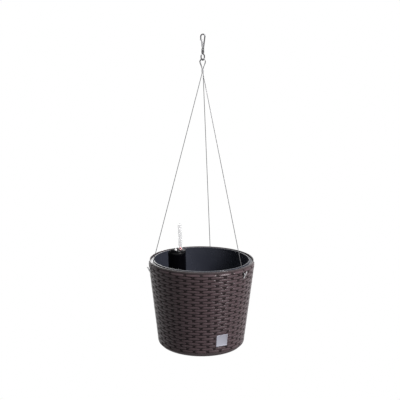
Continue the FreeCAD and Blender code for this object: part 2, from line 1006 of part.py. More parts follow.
def make_toggle(name, index):
    """A round-ended bar with a collar in its middle that the cable's end is pressed into."""
    turn = math.radians(cable_turn(index))
    lean = math.radians(size.toggle_lean)
    flat = math.sin(lean)
    up = Vector(flat * math.cos(turn), flat * math.sin(turn), math.cos(lean))
    middle = on_pot(cable_turn(index), size.toggle_out, -size.toggle_drop)
    corner, end = cable_end(index)
    along = (corner - middle).normalize()
    half = size.toggle_length / 2 - size.toggle_radius
    foot = Placement(middle - up * half, facing(up))
    ends = [
        primitive(
            "Sphere",
            f"{name}_end_{label}",
            Placement(middle + up * half * side, Rotation()),
            Radius="toggle_radius",
        )
        for label, side in (("low", -1), ("high", 1))
    ]
    bar = round_rod(f"{name}_bar", foot, "toggle_radius", "toggle_length - 2 * toggle_radius")
    collar_place = Placement(middle, facing(along))
    collar = round_rod(f"{name}_collar", collar_place, "collar_radius", "collar_length")
    bore_place = Placement(middle - along * 2 * size.toggle_radius, facing(along))
    bore_radius = "cable_radius + bore_clearance"
    bore = round_rod(f"{name}_bore", bore_place, bore_radius, "collar_length + 3 * toggle_radius")
    return cut(name, fuse(name + "_solid", [bar, collar] + ends), bore)


# ---------------------------------------------------------------- snap hook
ALONG_Y = Rotation(Vector(1, 0, 0), -90)


def slab(name, left, bottom, width, height, half_thickness):
    """A block in the hook's plane, from its left and bottom edges."""
    return primitive(
        "Box",
        name,
        moved(left, -half_thickness, bottom),
        Length=width,
        Width=f"{2 * half_thickness}",
        Height=height,
    )


def make_hook_body():
    """The crook and spine of round wire on a lug and a barrel, in one casting."""
    seat = size.hook_radius
    spine_top = size.crook_radius + size.spine_lean_out
    points = [
        Vector(size.spine_foot_out, 0, -size.spine_foot_drop),
        Vector(spine_top, 0, seat),
        Vector(-size.crook_radius, 0, seat),
        Vector(-size.crook_radius, 0, -size.nose_drop),
    ]
    wire = rounded_wire(points, [size.spine_radius, size.crook_radius])
    crook = feature("crook", swept(wire, size.hook_radius))
    lug = slab(
        "lug",
        -size.lug_left,
        -size.barrel_top - size.cut_spare,
        "lug_left + lug_right",
        "barrel_top - lug_top + cut_spare",
        size.lug_half_thickness,
    )
    barrel = round_rod(
        "barrel",
        moved(0, 0, -size.barrel_bottom),
        "barrel_radius",
        "barrel_bottom - barrel_top",
    )
    nose_cut = primitive(
        "Box",
        "nose_cut",
        moved(-size.crook_radius, -2 * size.hook_radius, -size.nose_drop - size.cut_spare),
        Length="2 * hook_radius",
        Width="4 * hook_radius",
        Height="nose_flat + cut_spare",
    )
    cutters = [nose_cut, *swivel_cutters(), *gate_cutters()]
    return cut("hook_body", fuse("hook_solid", [crook, lug, barrel]), fuse("hook_cutters", cutters))


def swivel_cutters():
    """The bore for the swivel's shank and the window where its head turns."""
    bore = round_rod(
        "shank_bore",
        moved(0, 0, -size.barrel_bottom - size.cut_spare),
        "shank_radius + pin_clearance",
        "barrel_bottom + cut_spare - window_bottom + window_height / 2",
    )
    window = slab(
        "head_window",
        -size.window_width / 2,
        -size.window_bottom,
        "window_width",
        "window_height",
        size.barrel_radius + size.cut_spare,
    )
    return bore, window


def gate_cutters():
    """The pin's hole and the slot for the spring in the lug."""
    hole = round_rod(
        "pin_hole",
        on_pin(size.lug_half_thickness + size.cut_spare),
        "pin_radius",
        "2 * lug_half_thickness + 2 * cut_spare",
    )
    slot = slab(
        "spring_slot",
        -size.lug_left - size.cut_spare,
        -size.pivot_drop - size.spring_room - size.spring_leg_room,
        "lug_left + cut_spare + pivot_out + spring_room",
        "pivot_drop - lug_top + spring_room + spring_leg_room + cut_spare",
        size.spring_slot,
    )
    return hole, slot


def on_pin(half):
    """A place on the gate pin's axis, half a length to the front of the hook's plane."""
    return moved(size.pivot_out, -half, -size.pivot_drop, ALONG_Y)


def gate_half():
    """Half the gate's outer thickness: the lug, a gap and the plate's own thickness."""
    return size.lug_half_thickness + size.gate_gap + size.gate_plate


def make_gate_pin():
    """The rivet through the lug and the gate's two cheeks."""
    half = gate_half() + size.pin_proud
    return round_rod("gate_pin", on_pin(half), "pin_radius", f"{2 * half}")


def gate_outline(body, name, corners):
    sketch = profile(body, name, "XZ_Plane", corners)
    pad = body.newObject("PartDesign::Pad", name + "_pad")
    pad.Profile = sketch
    pad.Midplane = True
    return pad


def make_hook_gate():
    """A folded channel: two cheeks on the pin, joined by a web along the open side."""
    body = document.addObject("PartDesign::Body", "gate_channel")
    lean = "(gate_top_out - gate_foot_out) / (pivot_drop - gate_top)"
    side = gate_outline(
        body,
        "gate_side",
        [
            ("-gate_top_out", "-gate_top"),
            ("-gate_top_out + gate_depth", "-gate_top"),
            ("pivot_out + gate_eye_radius", "-pivot_drop"),
            ("pivot_out - gate_eye_radius", "-pivot_drop"),
            (f"-gate_foot_out + {lean} * gate_eye_radius", "-web_foot_drop"),
        ],
    )
    bind(side, Length="2 * (lug_half_thickness + gate_gap + gate_plate)")
    body.Tip = side
    eyes = primitive(
        "Cylinder",
        "gate_eyes",
        on_pin(gate_half()),
        Radius="gate_eye_radius",
        Height="2 * (lug_half_thickness + gate_gap + gate_plate)",
    )
    channel = document.addObject("PartDesign::Body", "gate_hollow")
    foot = "-pivot_drop - gate_eye_radius - cut_spare"
    hollow = gate_outline(
        channel,
        "hollow_side",
        [
            ("-gate_top_out + gate_plate", "-gate_top + cut_spare"),
            ("gate_depth", "-gate_top + cut_spare"),
            ("gate_depth", foot),
            ("-gate_foot_out - cut_spare", foot),
            ("-gate_foot_out - cut_spare", "-web_foot_drop"),
            ("-gate_foot_out + gate_plate - web_thinning", "-web_foot_drop"),
        ],
    )
    bind(hollow, Length="2 * (lug_half_thickness + gate_gap)")
    channel.Tip = hollow
    pin_hole = round_rod(
        "gate_pin_hole",
        on_pin(gate_half() + size.cut_spare),
        "pin_radius + pin_clearance",
        f"{2 * gate_half()} + 2 * cut_spare",
    )
    solid = fuse("gate_solid", [body, eyes])
    return cut("hook_gate", solid, fuse("gate_cutters", [channel, pin_hole]))


def make_gate_spring():
    """A torsion spring round the pin: a long leg up the gate's web and a short one in the lug."""
    tall = size.spring_pitch * size.spring_turns
    coil = Part.Wire(Part.makeHelix(size.spring_pitch, tall, size.spring_radius).Edges)
    first, last = coil.OrderedEdges[0], coil.OrderedEdges[-1]
    start, end = first.valueAt(first.FirstParameter), last.valueAt(last.LastParameter)
    back = first.tangentAt(first.FirstParameter) * -size.spring_long_leg
    onward = last.tangentAt(last.LastParameter) * size.spring_short_leg
    long_leg = Part.LineSegment(start + back, start).toShape()
    short_leg = Part.LineSegment(end, end + onward).toShape()
    path = Part.Wire([long_leg, *coil.OrderedEdges, short_leg])
    across_pin = moved(size.pivot_out, tall / 2, -size.pivot_drop, Rotation(Vector(1, 0, 0), 90))
    return feature(
        "gate_spring", swept(path, size.spring_wire), across_pin * turned(180 + size.spring_lean)
    )


def make_swivel_eye():
    """The oval eye on a headed shank that turns in the barrel."""
    half, bottom = size.eye_half_width, -size.eye_drop
    top = bottom + size.eye_height
    corners = [
        Vector(half, 0, top),
        Vector(half, 0, bottom),
        Vector(-half, 0, bottom),
        Vector(-half, 0, top),
    ]
    oval = swept(rounded_wire(corners, [half] * 4, closed=True), size.eye_wire_radius)
    ring = feature("eye_ring", oval)
    head_bottom = -size.window_bottom + size.swivel_gap
    shank = round_rod("shank", moved(0, 0, top), "shank_radius", f"{head_bottom - top} + head_height / 2")
    head = round_rod("shank_head", moved(0, 0, head_bottom), "head_radius", "head_height")
    collar_top = -size.barrel_bottom - size.swivel_gap
    collar = round_rod("shank_collar", moved(0, 0, top), "head_radius", f"{collar_top - top}")
    eye = fuse("swivel_eye", [ring, shank, head, collar])
    eye.Placement = turned(size.eye_turn)
    return eye


# ---------------------------------------------------------------- run
def check(pieces):
    for item in document.Objects:
        if "Invalid" in item.State or "Error" in item.State:
            raise RuntimeError(f"{item.Label} has failed: {item.State}")
    for item in pieces:
        if item.Shape.isNull() or not item.Shape.isValid():
            raise RuntimeError(f"{item.Label} has no valid shape")
        if len(item.Shape.Solids) != 1:
            raise RuntimeError(f"{item.Label} has {len(item.Shape.Solids)} solids")


pieces = [
    make_outer_pot(),
    make_name_plate(),
    make_plant_insert(),
    make_duct_cap(),
    make_fill_lid(),
    make_lid_knob(),
    make_gauge_tube(),
    make_gauge_guide(),
    make_guide_foot(),
    make_gauge_float(),
    make_gauge_rod(),
    make_gauge_flag(),
    make_cable_pair(),
    make_cable_back(),
    make_crimp_sleeve(),
    make_toggle("toggle_right", 0),
    make_toggle("toggle_back", 1),
    make_toggle("toggle_left", 2),
    make_hook_body(),
    make_gate_pin(),
    make_hook_gate(),
    make_gate_spring(),
    make_swivel_eye(),
]
document.recompute()
check(pieces)
os.makedirs("parts", exist_ok=True)
for piece in pieces:
    piece.Shape.exportStep(os.path.join("parts", piece.Label + ".step"))
    print(f"{piece.Label}: {piece.Shape.Volume / 1000:.3f} cm3")
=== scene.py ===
import bmesh
import bpy
import json
import math
import numpy as np
from mathutils import Matrix, Vector


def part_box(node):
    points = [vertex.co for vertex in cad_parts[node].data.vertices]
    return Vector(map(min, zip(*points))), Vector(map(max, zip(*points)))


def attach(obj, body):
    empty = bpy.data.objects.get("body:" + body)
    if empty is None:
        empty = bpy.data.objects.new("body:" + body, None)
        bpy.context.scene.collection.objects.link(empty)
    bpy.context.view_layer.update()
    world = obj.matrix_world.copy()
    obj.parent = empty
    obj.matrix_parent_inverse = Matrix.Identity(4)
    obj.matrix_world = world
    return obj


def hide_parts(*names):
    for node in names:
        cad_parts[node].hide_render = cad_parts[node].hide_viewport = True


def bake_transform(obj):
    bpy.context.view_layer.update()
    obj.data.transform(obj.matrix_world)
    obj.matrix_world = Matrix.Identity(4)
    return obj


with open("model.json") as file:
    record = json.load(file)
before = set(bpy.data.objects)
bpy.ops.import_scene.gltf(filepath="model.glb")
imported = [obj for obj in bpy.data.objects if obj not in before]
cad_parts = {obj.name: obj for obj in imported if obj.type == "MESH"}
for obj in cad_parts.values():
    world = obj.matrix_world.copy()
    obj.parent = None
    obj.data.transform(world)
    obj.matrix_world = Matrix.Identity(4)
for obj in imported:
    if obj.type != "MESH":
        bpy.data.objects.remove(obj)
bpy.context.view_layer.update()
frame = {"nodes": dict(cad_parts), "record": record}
nodes = frame["nodes"]
mm = 0.001
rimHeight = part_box("outer_pot")[1].z  # the plane of the pot's rim
scene = bpy.context.scene
print("frame loaded,", len(nodes), "nodes")

cameraLook = {
    "lens": 63.0,
    "sensor": 36.0,
    "back": 1.5704,
    "aside": -0.00437,
    "above": 0.410,
    "pitchDown": 9.86,
    "roll": 0.3,
}


def addCamera(look):
    # it stands back and above the rim, tilted down and rolled a little
    data = bpy.data.cameras.new("camera")
    data.lens = look["lens"]
    data.sensor_width = look["sensor"]
    camera = bpy.data.objects.new("camera", data)
    scene.collection.objects.link(camera)
    place = Matrix.Translation((look["aside"], -look["back"], rimHeight + look["above"]))
    tilt = Matrix.Rotation(math.radians(90 - look["pitchDown"]), 4, "X")
    roll = Matrix.Rotation(math.radians(look["roll"]), 4, "Z")
    camera.matrix_world = place @ tilt @ roll
    scene.camera = camera


addCamera(cameraLook)


def signedVolume(points, faces):
    # a closed surface's volume from its faces, below zero where they point inwards
    a, b, c, d = (points[faces[:, k]] for k in range(4))
    first = np.einsum("ij,ij->i", a, np.cross(b, c))
    second = np.einsum("ij,ij->i", a, np.cross(c, d))
    return float((first + second).sum())


def addGrid(name, grid, wrapRows=False, wrapColumns=False, uv=None, mask=None):
    # grid[i, j] is the point of row i and column j; neighbours make a four-sided face
    rows, columns = grid.shape[:2]
    i = np.arange(rows if wrapRows else rows - 1)
    j = np.arange(columns if wrapColumns else columns - 1)
    i, j = (k.ravel() for k in np.meshgrid(i, j, indexing="ij"))
    up, right = (i + 1) % rows, (j + 1) % columns
    faces = np.stack([i * columns + j, i * columns + right, up * columns + right, up * columns + j], 1)
    points = grid.reshape(-1, 3)
    middle = points.mean(0)
    turnedRound = signedVolume(points - middle, faces) < 0
    if turnedRound:
        faces = faces[:, ::-1]
    mesh = bpy.data.meshes.new(name)
    mesh.vertices.add(len(points))
    mesh.vertices.foreach_set("co", points.astype(np.float32).ravel())
    mesh.loops.add(faces.size)
    mesh.loops.foreach_set("vertex_index", faces.astype(np.int32).ravel())
    mesh.polygons.add(len(faces))
    mesh.polygons.foreach_set("loop_start", np.arange(0, faces.size, 4, dtype=np.int32))
    mesh.update(calc_edges=True)
    if uv is not None:
        # the last face of a ring keeps counting, so its texture doesn't run back
        across = np.stack([j, j + 1, j + 1, j], 1)
        along = np.stack([i, i, i + 1, i + 1], 1)
        if turnedRound:
            across, along = across[:, ::-1], along[:, ::-1]
        layer = mesh.uv_layers.new(name="UVMap")
        spots = np.stack([uv[0](along, across), uv[1](along, across)], -1)
        layer.data.foreach_set("uv", spots.astype(np.float32).ravel())
    if mask is not None:
        # painted shade: the mask is each point's painted shade value
        attribute = mesh.attributes.new("painted_shade", "FLOAT", "POINT")
        attribute.data.foreach_set("value", mask.astype(np.float32).ravel())
    mesh.polygons.foreach_set("use_smooth", np.ones(len(mesh.polygons), bool))
    piece = bpy.data.objects.new(name, mesh)
    scene.collection.objects.link(piece)
    return piece


def weld(piece, distance=1e-7):
    # points that lie on each other become one, so poles and seams are closed
    work = bmesh.new()
    work.from_mesh(piece.data)
    bmesh.ops.remove_doubles(work, verts=work.verts, dist=distance)
    loose = [edge for edge in work.edges if not edge.link_faces]
    bmesh.ops.delete(work, geom=loose, context="EDGES")
    work.to_mesh(piece.data)
    work.free()
    return piece


def inPot(points):
    # the pot's frame has its origin on the axis in the rim's plane
    return points * mm + [0, 0, rimHeight]


def turnProfile(name, profile, segments=120, place=inPot):
    # a profile of (radius, height) turned about an upright axis: (r cos t, r sin t, h)
    profile = np.array(profile, float)
    angle = np.linspace(0, 2 * np.pi, segments, endpoint=False)
    radius = profile[:, 0][:, None]
    height = np.repeat(profile[:, 1][:, None], segments, 1)
    grid = np.stack([radius * np.cos(angle), radius * np.sin(angle), height], -1)
    ring = profile[0, 0] > 0
    return weld(addGrid(name, place(grid), ring, True))


def roundCorners(corners, steps=5):
    # each (across, up, radius) corner of a closed outline becomes an arc tangent to both sides
    spots = [np.array(corner[:2], float) for corner in corners]
    outline = []
    count = len(spots)
    for k, corner in enumerate(spots):
        radius = corners[k][2]
        if radius <= 0:
            outline.append(corner)
            continue
        arrive = corner - spots[k - 1]
        leave = spots[(k + 1) % count] - corner
        arrive, leave = arrive / np.linalg.norm(arrive), leave / np.linalg.norm(leave)
        half = math.acos(max(-1, min(1, float(arrive @ leave)))) / 2
        if half < 1e-3:
            outline.append(corner)
            continue
        reach = radius * math.tan(half)
        centre = corner + (leave - arrive) / np.linalg.norm(leave - arrive) * radius / math.cos(half)
        start = corner - arrive * reach - centre
        end = corner + leave * reach - centre
        turn = math.atan2(start[0] * end[1] - start[1] * end[0], float(start @ end))
        for t in np.linspace(0, turn, steps):
            c, s = math.cos(t), math.sin(t)
            outline.append(centre + [c * start[0] - s * start[1], s * start[0] + c * start[1]])
    return np.array(outline)


cable = {
    "radius": 0.00075,
    "lobes": 6,
    "lobeDepth": 0.13,
    "lay": 0.0105,  # length of one turn of the twist
    "step": 0.0007,
    "around": 24,
    "smoothness": 48,
    "across": (0.342, 0.940, 0.0),  # the eye's axis, from which the twist is counted
    # each strand's points, from its toggle up, round the eye and down again
    "pair": [
        (0.09673, -0.08261, -0.51995),
        (0.09036, -0.07718, -0.51400),
        (0.08856, -0.07565, -0.50532),
        (0.00228, -0.00256, -0.09033),
        (0.00048, -0.00103, -0.08165),
        (0.00048, -0.00103, -0.07165),
        (0.00695, -0.00338, -0.05845),
        (0.00483, -0.00261, -0.05302),
        (-0.00027, -0.00075, -0.05077),
        (-0.00538, 0.00111, -0.05302),
        (-0.00750, 0.00188, -0.05845),
        (-0.00103, -0.00048, -0.07165),
        (-0.00103, -0.00048, -0.08165),
        (-0.00325, -0.00127, -0.09033),
        (-0.10979, -0.03888, -0.50532),
        (-0.11202, -0.03967, -0.51400),
        (-0.11991, -0.04246, -0.51995),
    ],
    "back": [
        (0.02318, 0.12508, -0.51995),
        (0.02166, 0.11685, -0.51400),
        (0.02124, 0.11450, -0.50532),
        (0.00144, 0.00283, -0.09033),
        (0.00103, 0.00048, -0.08165),
        (0.00103, 0.00048, -0.07165),
        (0.00628, -0.00143, -0.05725),
        (0.00452, -0.00079, -0.05273),
        (0.00027, 0.00075, -0.05086),
        (-0.00397, 0.00230, -0.05273),
        (-0.00573, 0.00293, -0.05725),
        (-0.00048, 0.00103, -0.07165),
        (-0.00048, 0.00103, -0.08015),
    ],
}


def readSpline(name, points):
    # the points of a smooth spline through the route, as its own line gives them
    curve = bpy.data.curves.new(name, "CURVE")
    curve.dimensions = "3D"
    spline = curve.splines.new("NURBS")
    spline.points.add(len(points) - 1)
    for spot, point in zip(spline.points, points):
        spot.co = (*point, 1)
    spline.order_u = 3
    spline.use_endpoint_u = True
    curve.resolution_u = cable["smoothness"]
    holder = bpy.data.objects.new(name, curve)
    scene.collection.objects.link(holder)
    line = bpy.data.meshes.new_from_object(holder)
    path = np.array([vertex.co for vertex in line.vertices])
    bpy.data.objects.remove(holder)
    return path


def addCable(name, points):
    # a six-lobed section carried along the route while it turns once for each lay:
    # radius = r (1 - depth (1 - |cos 3a|)), so the wire shows as twisted strands
    path = readSpline(name + "_line", points)
    gaps = np.linalg.norm(np.diff(path, axis=0), axis=1)
    run = np.concatenate([[0], np.cumsum(gaps)])
    spots = np.linspace(0, run[-1], int(run[-1] / cable["step"]))
    middle = np.stack([np.interp(spots, run, path[:, k]) for k in range(3)], 1)
    tangent = np.gradient(middle, axis=0)
    tangent /= np.linalg.norm(tangent, axis=1)[:, None]
    across = np.array(cable["across"])
    side = across - tangent * (tangent @ across)[:, None]
    side /= np.linalg.norm(side, axis=1)[:, None]
    other = np.cross(tangent, side)
    angle = np.linspace(0, 2 * np.pi, cable["around"], endpoint=False)
    lobe = 1 - cable["lobeDepth"] * (1 - np.abs(np.cos(cable["lobes"] / 2 * angle)))
    spin = angle[None, :] + (2 * np.pi * spots / cable["lay"])[:, None]
    reach = (cable["radius"] * lobe)[None, :, None]
    swing = np.cos(spin)[..., None] * side[:, None] + np.sin(spin)[..., None] * other[:, None]
    grid = middle[:, None] + reach * swing
    ends = [np.repeat(middle[[k], None], cable["around"], 1) for k in (0, -1)]
    piece = weld(addGrid(name, np.concatenate([ends[0], grid, ends[1]]), False, True))
    print(name, "done,", round(float(run[-1]), 4), "m long")
    return piece, path


cables = {name: addCable("strand_" + name, cable[name]) for name in ("pair", "back")}


def newMaterial(name):
    # a material with its node tree and its surface shader
    material = bpy.data.materials.new(name)
    material.use_nodes = True
    return material, material.node_tree, material.node_tree.nodes["Principled BSDF"]


def addNode(tree, kind, **values):
    # each value goes to the input of that name, or else to the node itself
    node = tree.nodes.new(kind)
    for key, value in values.items():
        if key in node.inputs:
            node.inputs[key].default_value = value
        else:
            setattr(node, key, value)
    return node


def mixInput(mix, letter):
    # a mix node has an A and a B for each data type
    return next(s for s in mix.inputs if s.name == letter and s.type == "RGBA")


grainLook = {
    "fineDetail": 4.0,
    "broadDetail": 3.0,
    "broader": 14,  # how many times wider the broad noise is
    "middle": (0.3, 0.7),  # the noise's range that the roughness spreads over
}


def setInputs(node, values):
    # each value goes to the input of that name
    for key, value in values.items():
        node.inputs[key].default_value = value


def surfaceDetail(tree, shader, scale, bumpHeight, roughness, colour=None, other=None):
    # fine noise for the bump, broad noise for roughness and for a drift of colour
    place = addNode(tree, "ShaderNodeTexCoord").outputs["Object"]
    fine = addNode(tree, "ShaderNodeTexNoise", Scale=scale, Detail=grainLook["fineDetail"])
    broad = addNode(tree, "ShaderNodeTexNoise", Scale=scale / grainLook["broader"])
    broad.inputs["Detail"].default_value = grainLook["broadDetail"]
    for noise in (fine, broad):
        tree.links.new(place, noise.inputs["Vector"])
    low, high = grainLook["middle"]
    spread = addNode(tree, "ShaderNodeMapRange")
    setInputs(spread, {"From Min": low, "From Max": high, "To Min": roughness[0], "To Max": roughness[1]})
    tree.links.new(broad.outputs["Fac"], spread.inputs["Value"])
    tree.links.new(spread.outputs["Result"], shader.inputs["Roughness"])
    bump = addNode(tree, "ShaderNodeBump", Strength=1.0, Distance=bumpHeight)
    tree.links.new(fine.outputs["Fac"], bump.inputs["Height"])
    tree.links.new(bump.outputs["Normal"], shader.inputs["Normal"])
    if colour and other:
        mix = addNode(tree, "ShaderNodeMix", data_type="RGBA")
        mixInput(mix, "A").default_value = (*colour, 1)
        mixInput(mix, "B").default_value = (*other, 1)
        tree.links.new(broad.outputs["Fac"], mix.inputs["Factor"])
        tree.links.new(mix.outputs[2], shader.inputs["Base Color"])


def plainMaterial(name, colour, other, scale, bumpHeight, roughness, metallic=0.0, specular=0.5):
    # one finish, from its row of values
    material, tree, shader = newMaterial(name)
    setInputs(shader, {"Metallic": metallic, "Specular IOR Level": specular})
    surfaceDetail(tree, shader, scale, bumpHeight, roughness, colour, other)
    return material


weaveLook = {
    "shade": (0.052, 0.034, 0.036),
    "light": (0.098, 0.068, 0.076),
    # near-black painted shade for the grooves and the holes
    "painted_shade": (0.0025, 0.0018, 0.0016),
    "roughness": (0.21, 0.35),
    "specular": 0.15,
    "fibre": (60, 900, 1),  # the grain is this fine along and across the strands
    "fibreDetail": 5.0,
    "patches": 90.0,
    "patchDetail": 3.0,
    "bump": 0.00012,
}


def paintPitShade(tree, shader, colour):
    # painted shade: the colour goes to the near-black shade colour as a point's painted shade value goes
    # from 0 to 1
    painted_shade = addNode(tree, "ShaderNodeAttribute", attribute_name="painted_shade").outputs["Fac"]
    deep = addNode(tree, "ShaderNodeMix", data_type="RGBA")
    mixInput(deep, "B").default_value = (*weaveLook["painted_shade"], 1)
    tree.links.new(colour, mixInput(deep, "A"))
    tree.links.new(painted_shade, deep.inputs["Factor"])
    tree.links.new(deep.outputs[2], shader.inputs["Base Color"])
    return painted_shade


def wovenMaterial():
    # noise drawn out along the strands is the grain, broad noise drifts the colour between shade and
    # light, and a point's painted shade value, highest deep in the grooves, turns it dark and dull
    material, tree, shader = newMaterial("wovenPlastic")
    shader.inputs["Specular IOR Level"].default_value = weaveLook["specular"]
    along = addNode(tree, "ShaderNodeUVMap", uv_map="UVMap").outputs["UV"]
    stretch = addNode(tree, "ShaderNodeMapping")
    stretch.inputs["Scale"].default_value = weaveLook["fibre"]
    tree.links.new(along, stretch.inputs["Vector"])
    grain = addNode(tree, "ShaderNodeTexNoise", Scale=1.0, Detail=weaveLook["fibreDetail"])
    tree.links.new(stretch.outputs["Vector"], grain.inputs["Vector"])
    patches = addNode(tree, "ShaderNodeTexNoise", Scale=weaveLook["patches"])
    patches.inputs["Detail"].default_value = weaveLook["patchDetail"]
    tree.links.new(along, patches.inputs["Vector"])
    tint = addNode(tree, "ShaderNodeMix", data_type="RGBA")
    mixInput(tint, "A").default_value = (*weaveLook["shade"], 1)
    mixInput(tint, "B").default_value = (*weaveLook["light"], 1)
    tree.links.new(patches.outputs["Fac"], tint.inputs["Factor"])
    painted_shade = paintPitShade(tree, shader, tint.outputs[2])
    spread = addNode(tree, "ShaderNodeMapRange")
    setInputs(spread, {"To Min": weaveLook["roughness"][0], "To Max": weaveLook["roughness"][1]})
    tree.links.new(grain.outputs["Fac"], spread.inputs["Value"])
    dull = addNode(tree, "ShaderNodeMath", operation="MAXIMUM")  # dull inside the pits
    tree.links.new(spread.outputs["Result"], dull.inputs[0])
    tree.links.new(painted_shade, dull.inputs[1])
    tree.links.new(dull.outputs[0], shader.inputs["Roughness"])
    bump = addNode(tree, "ShaderNodeBump", Strength=1.0, Distance=weaveLook["bump"])
    tree.links.new(grain.outputs["Fac"], bump.inputs["Height"])
    tree.links.new(bump.outputs["Normal"], shader.inputs["Normal"])
    return material


# the wall's sizes in millimetres, down from the rim's plane
wall = {
    "rim": 120.0,
    "rimInner": 118.4,
    "band": 5.0,
    "shoulder": 122.4,
    "shoulderDrop": 9.0,
    "base": 100.0,
    "baseRound": 4.0,
    "height": 200.0,
    "thickness": 2.4,
    "skin": 1.75,  # the weave's deepest point under the wall's outside
    "floor": 2.6,
    "footRise": 1.2,
    "footWidth": 8.0,
    "toe": 1.2,  # how far the round at the base starts from the foot and from the wall
    "segments": 240,
}
# heights and depths in millimetres, depths being under the wall's outside
weave = {
    "firstRow": -7.62,
    "pitch": 6.22,
    "rows": 30,
    "columns": 42,
    "firstColumn": -82.0,  # degrees
    "crest": 0.15,
    "round": 1.45,
    "bulge": 0.94,
    "diveFrom": 0.68,  # shares of the way to the next stake
    "diveTo": 1.0,
    "thinFrom": 0.3,  # a bar gets thinner between these shares
    "thinTo": 0.95,
    "thinBy": 0.18,
    "least": 0.05,  # no point is less deep than this, or deeper than the next
    "deep": 1.72,
    "stakeHalf": 0.13,
    "stakeDepth": 1.15,
    "perColumn": 15,
    "perRow": 9,
    "crowd": 0.45,  # how much the rows' lines draw to the grooves
    "seam": 0.04,  # gap between a row's end and its first line
    "wander": 0.1,
    "lean": 1.6,  # times the wander
    "uneven": 0.06,
    "paintedShadeFrom": 0.75,  # a point's painted shade grows between these depths
    "paintedShadeTo": 1.4,
    "back": 0.3,  # how far the ring's back lies under the wall's skin
    "lip": 2.0,  # width of its ends on the texture
    "uvRadius": 0.111,  # metres
}
fixing = {
    "turns": (-40.5, 79.5, 199.5),
    "drop": 13.6,
    "radius": 4.2,
    "pad": 7.0,
    "blend": 2.5,
    "padDepth": 0.45,
    "reach": (112, 128),  # from and to this radius the hole is cut
    "shade": 0.06,  # points this near to the hole get painted shade
    "wallFrom": 100,  # and lie beyond this radius
}
plate = {
    "turn": -63.8,
    "drop": 163.0,
    "side": 27.0,
    "margin": 2.0,
    "cut": 1.6,  # the field's depth under the wall's outside
    "blend": (0.3, 0.5),  # it fades in over this much inside and outside its edge
    "behind": 6,  # points farther under it stay
}


def taper():
    # how much the cone's radius falls for each millimetre down
    return (wall["shoulder"] - wall["base"]) / (wall["height"] - wall["shoulderDrop"])


def wallRadius(z):
    # outside radius of the wall at height z: a straight band, a shoulder and a cone
    cone = wall["shoulder"] + taper() * (z + wall["shoulderDrop"])
    slope = (wall["shoulder"] - wall["rim"]) / (wall["shoulderDrop"] - wall["band"])
    shoulder = wall["rim"] - slope * (z + wall["band"])
    return np.where(z > -wall["band"], wall["rim"], np.where(z > -wall["shoulderDrop"], shoulder, cone))


def smooth(low, high, value):
    # 0 up to low, 1 from high, and 3 t^2 - 2 t^3 between them
    t = np.clip((value - low) / (high - low), 0, 1)
    return t * t * (3 - 2 * t)


# how much each bar is lifted, leans and stands out, in units of its own
rng = np.random.default_rng(7)
bars = rng.normal(size=(weave["rows"] + 1, weave["columns"] + 1, 3))


def weaveDepth(turn, z):
    # depth under the wall's outside: over its own stake a strand is a half-round bar; from diveFrom
    # to diveTo of the way to the next stake it dives behind that thin rod
    row = np.floor((weave["firstRow"] + weave["pitch"] / 2 - z) / weave["pitch"]).astype(int)
    row = np.clip(row, 0, weave["rows"] - 1)
    column = (turn - weave["firstColumn"]) / (360 / weave["columns"])
    over = 2 * np.round((column - row % 2) / 2) + row % 2
    own = bars[row, (over.astype(int)) % weave["columns"]]
    aside = column - over
    middle = weave["firstRow"] - row * weave["pitch"]
    lift = weave["wander"] * own[..., 0]
    lean = weave["wander"] * weave["lean"] * own[..., 1] * aside
    v = (z - middle - lift - lean) / weave["pitch"]
    away = np.abs(aside)
    half = 0.5 - weave["thinBy"] * smooth(weave["thinFrom"], weave["thinTo"], away)
    roundness = 1 - np.sqrt(np.clip(1 - (v / half) ** 2 * weave["bulge"], 0.0, 1))
    dive = smooth(weave["diveFrom"], weave["diveTo"], away)
    strand = weave["crest"] + (weave["deep"] - weave["crest"]) * dive + weave["round"] * roundness
    strand = strand + weave["uneven"] * own[..., 2]
    across = np.clip((1 - away) / weave["stakeHalf"], 0, 1)
    stake = weave["stakeDepth"] + (weave["deep"] - weave["stakeDepth"]) * (1 - np.sqrt(1 - across**2))
    return np.clip(np.minimum(strand, stake), weave["least"], weave["deep"])


def smoothPads(turn, z, depth):
    # the weave fades into a round flat pad about each fixing hole
    for middle in fixing["turns"]:
        aside = (turn - middle + 180) % 360 - 180
        reach = np.hypot(np.radians(aside) * wallRadius(z), z + fixing["drop"])
        pad = 1 - smooth(fixing["pad"] - fixing["blend"], fixing["pad"], reach)
        depth = depth * (1 - pad) + fixing["padDepth"] * pad
    return depth


def plateFrame():
    # origin and the directions across, up and out of the flat field under the plate
    lean = math.atan(taper())
    turn = math.radians(plate["turn"])
    out = np.array([math.cos(turn) * math.cos(lean), math.sin(turn) * math.cos(lean), -math.sin(lean)])
    across = np.array([-math.sin(turn), math.cos(turn), 0.0])
    radius = float(wallRadius(np.array(-plate["drop"]))) - plate["cut"]
    origin = np.array([radius * math.cos(turn), radius * math.sin(turn), -plate["drop"]])
    return origin, across, np.cross(out, across), out


def flatField(points):
    # points over the field's square are set down on its plane
    origin, across, up, out = plateFrame()
    offset = points - origin
    x, y, height = offset @ across, offset @ up, offset @ out
    half = plate["side"] / 2 + plate["margin"]
    edge = np.maximum(np.abs(x), np.abs(y))
    inner, outer = plate["blend"]
    inside = (1 - smooth(half - inner, half + outer, edge)) * (height > -plate["behind"])
    return points - (height * inside)[..., None] * out, inside


def ringRows(first, last):
    # heights with more lines near the grooves between rows: a share of (1 - cos pi t) / 2
    steps, crowd, seam = weave["perRow"], weave["crowd"], weave["seam"]
    even = np.arange(steps) / steps
    spread = crowd * (0.5 - 0.5 * np.cos(np.pi * even)) + (1 - crowd) * even
    tops = weave["firstRow"] + weave["pitch"] / 2 - np.arange(first, last + 1) * weave["pitch"]
    heights = tops[:-1, None] - seam - spread * (weave["pitch"] - seam / 2)
    return np.append(heights.ravel(), tops[-1] + seam)


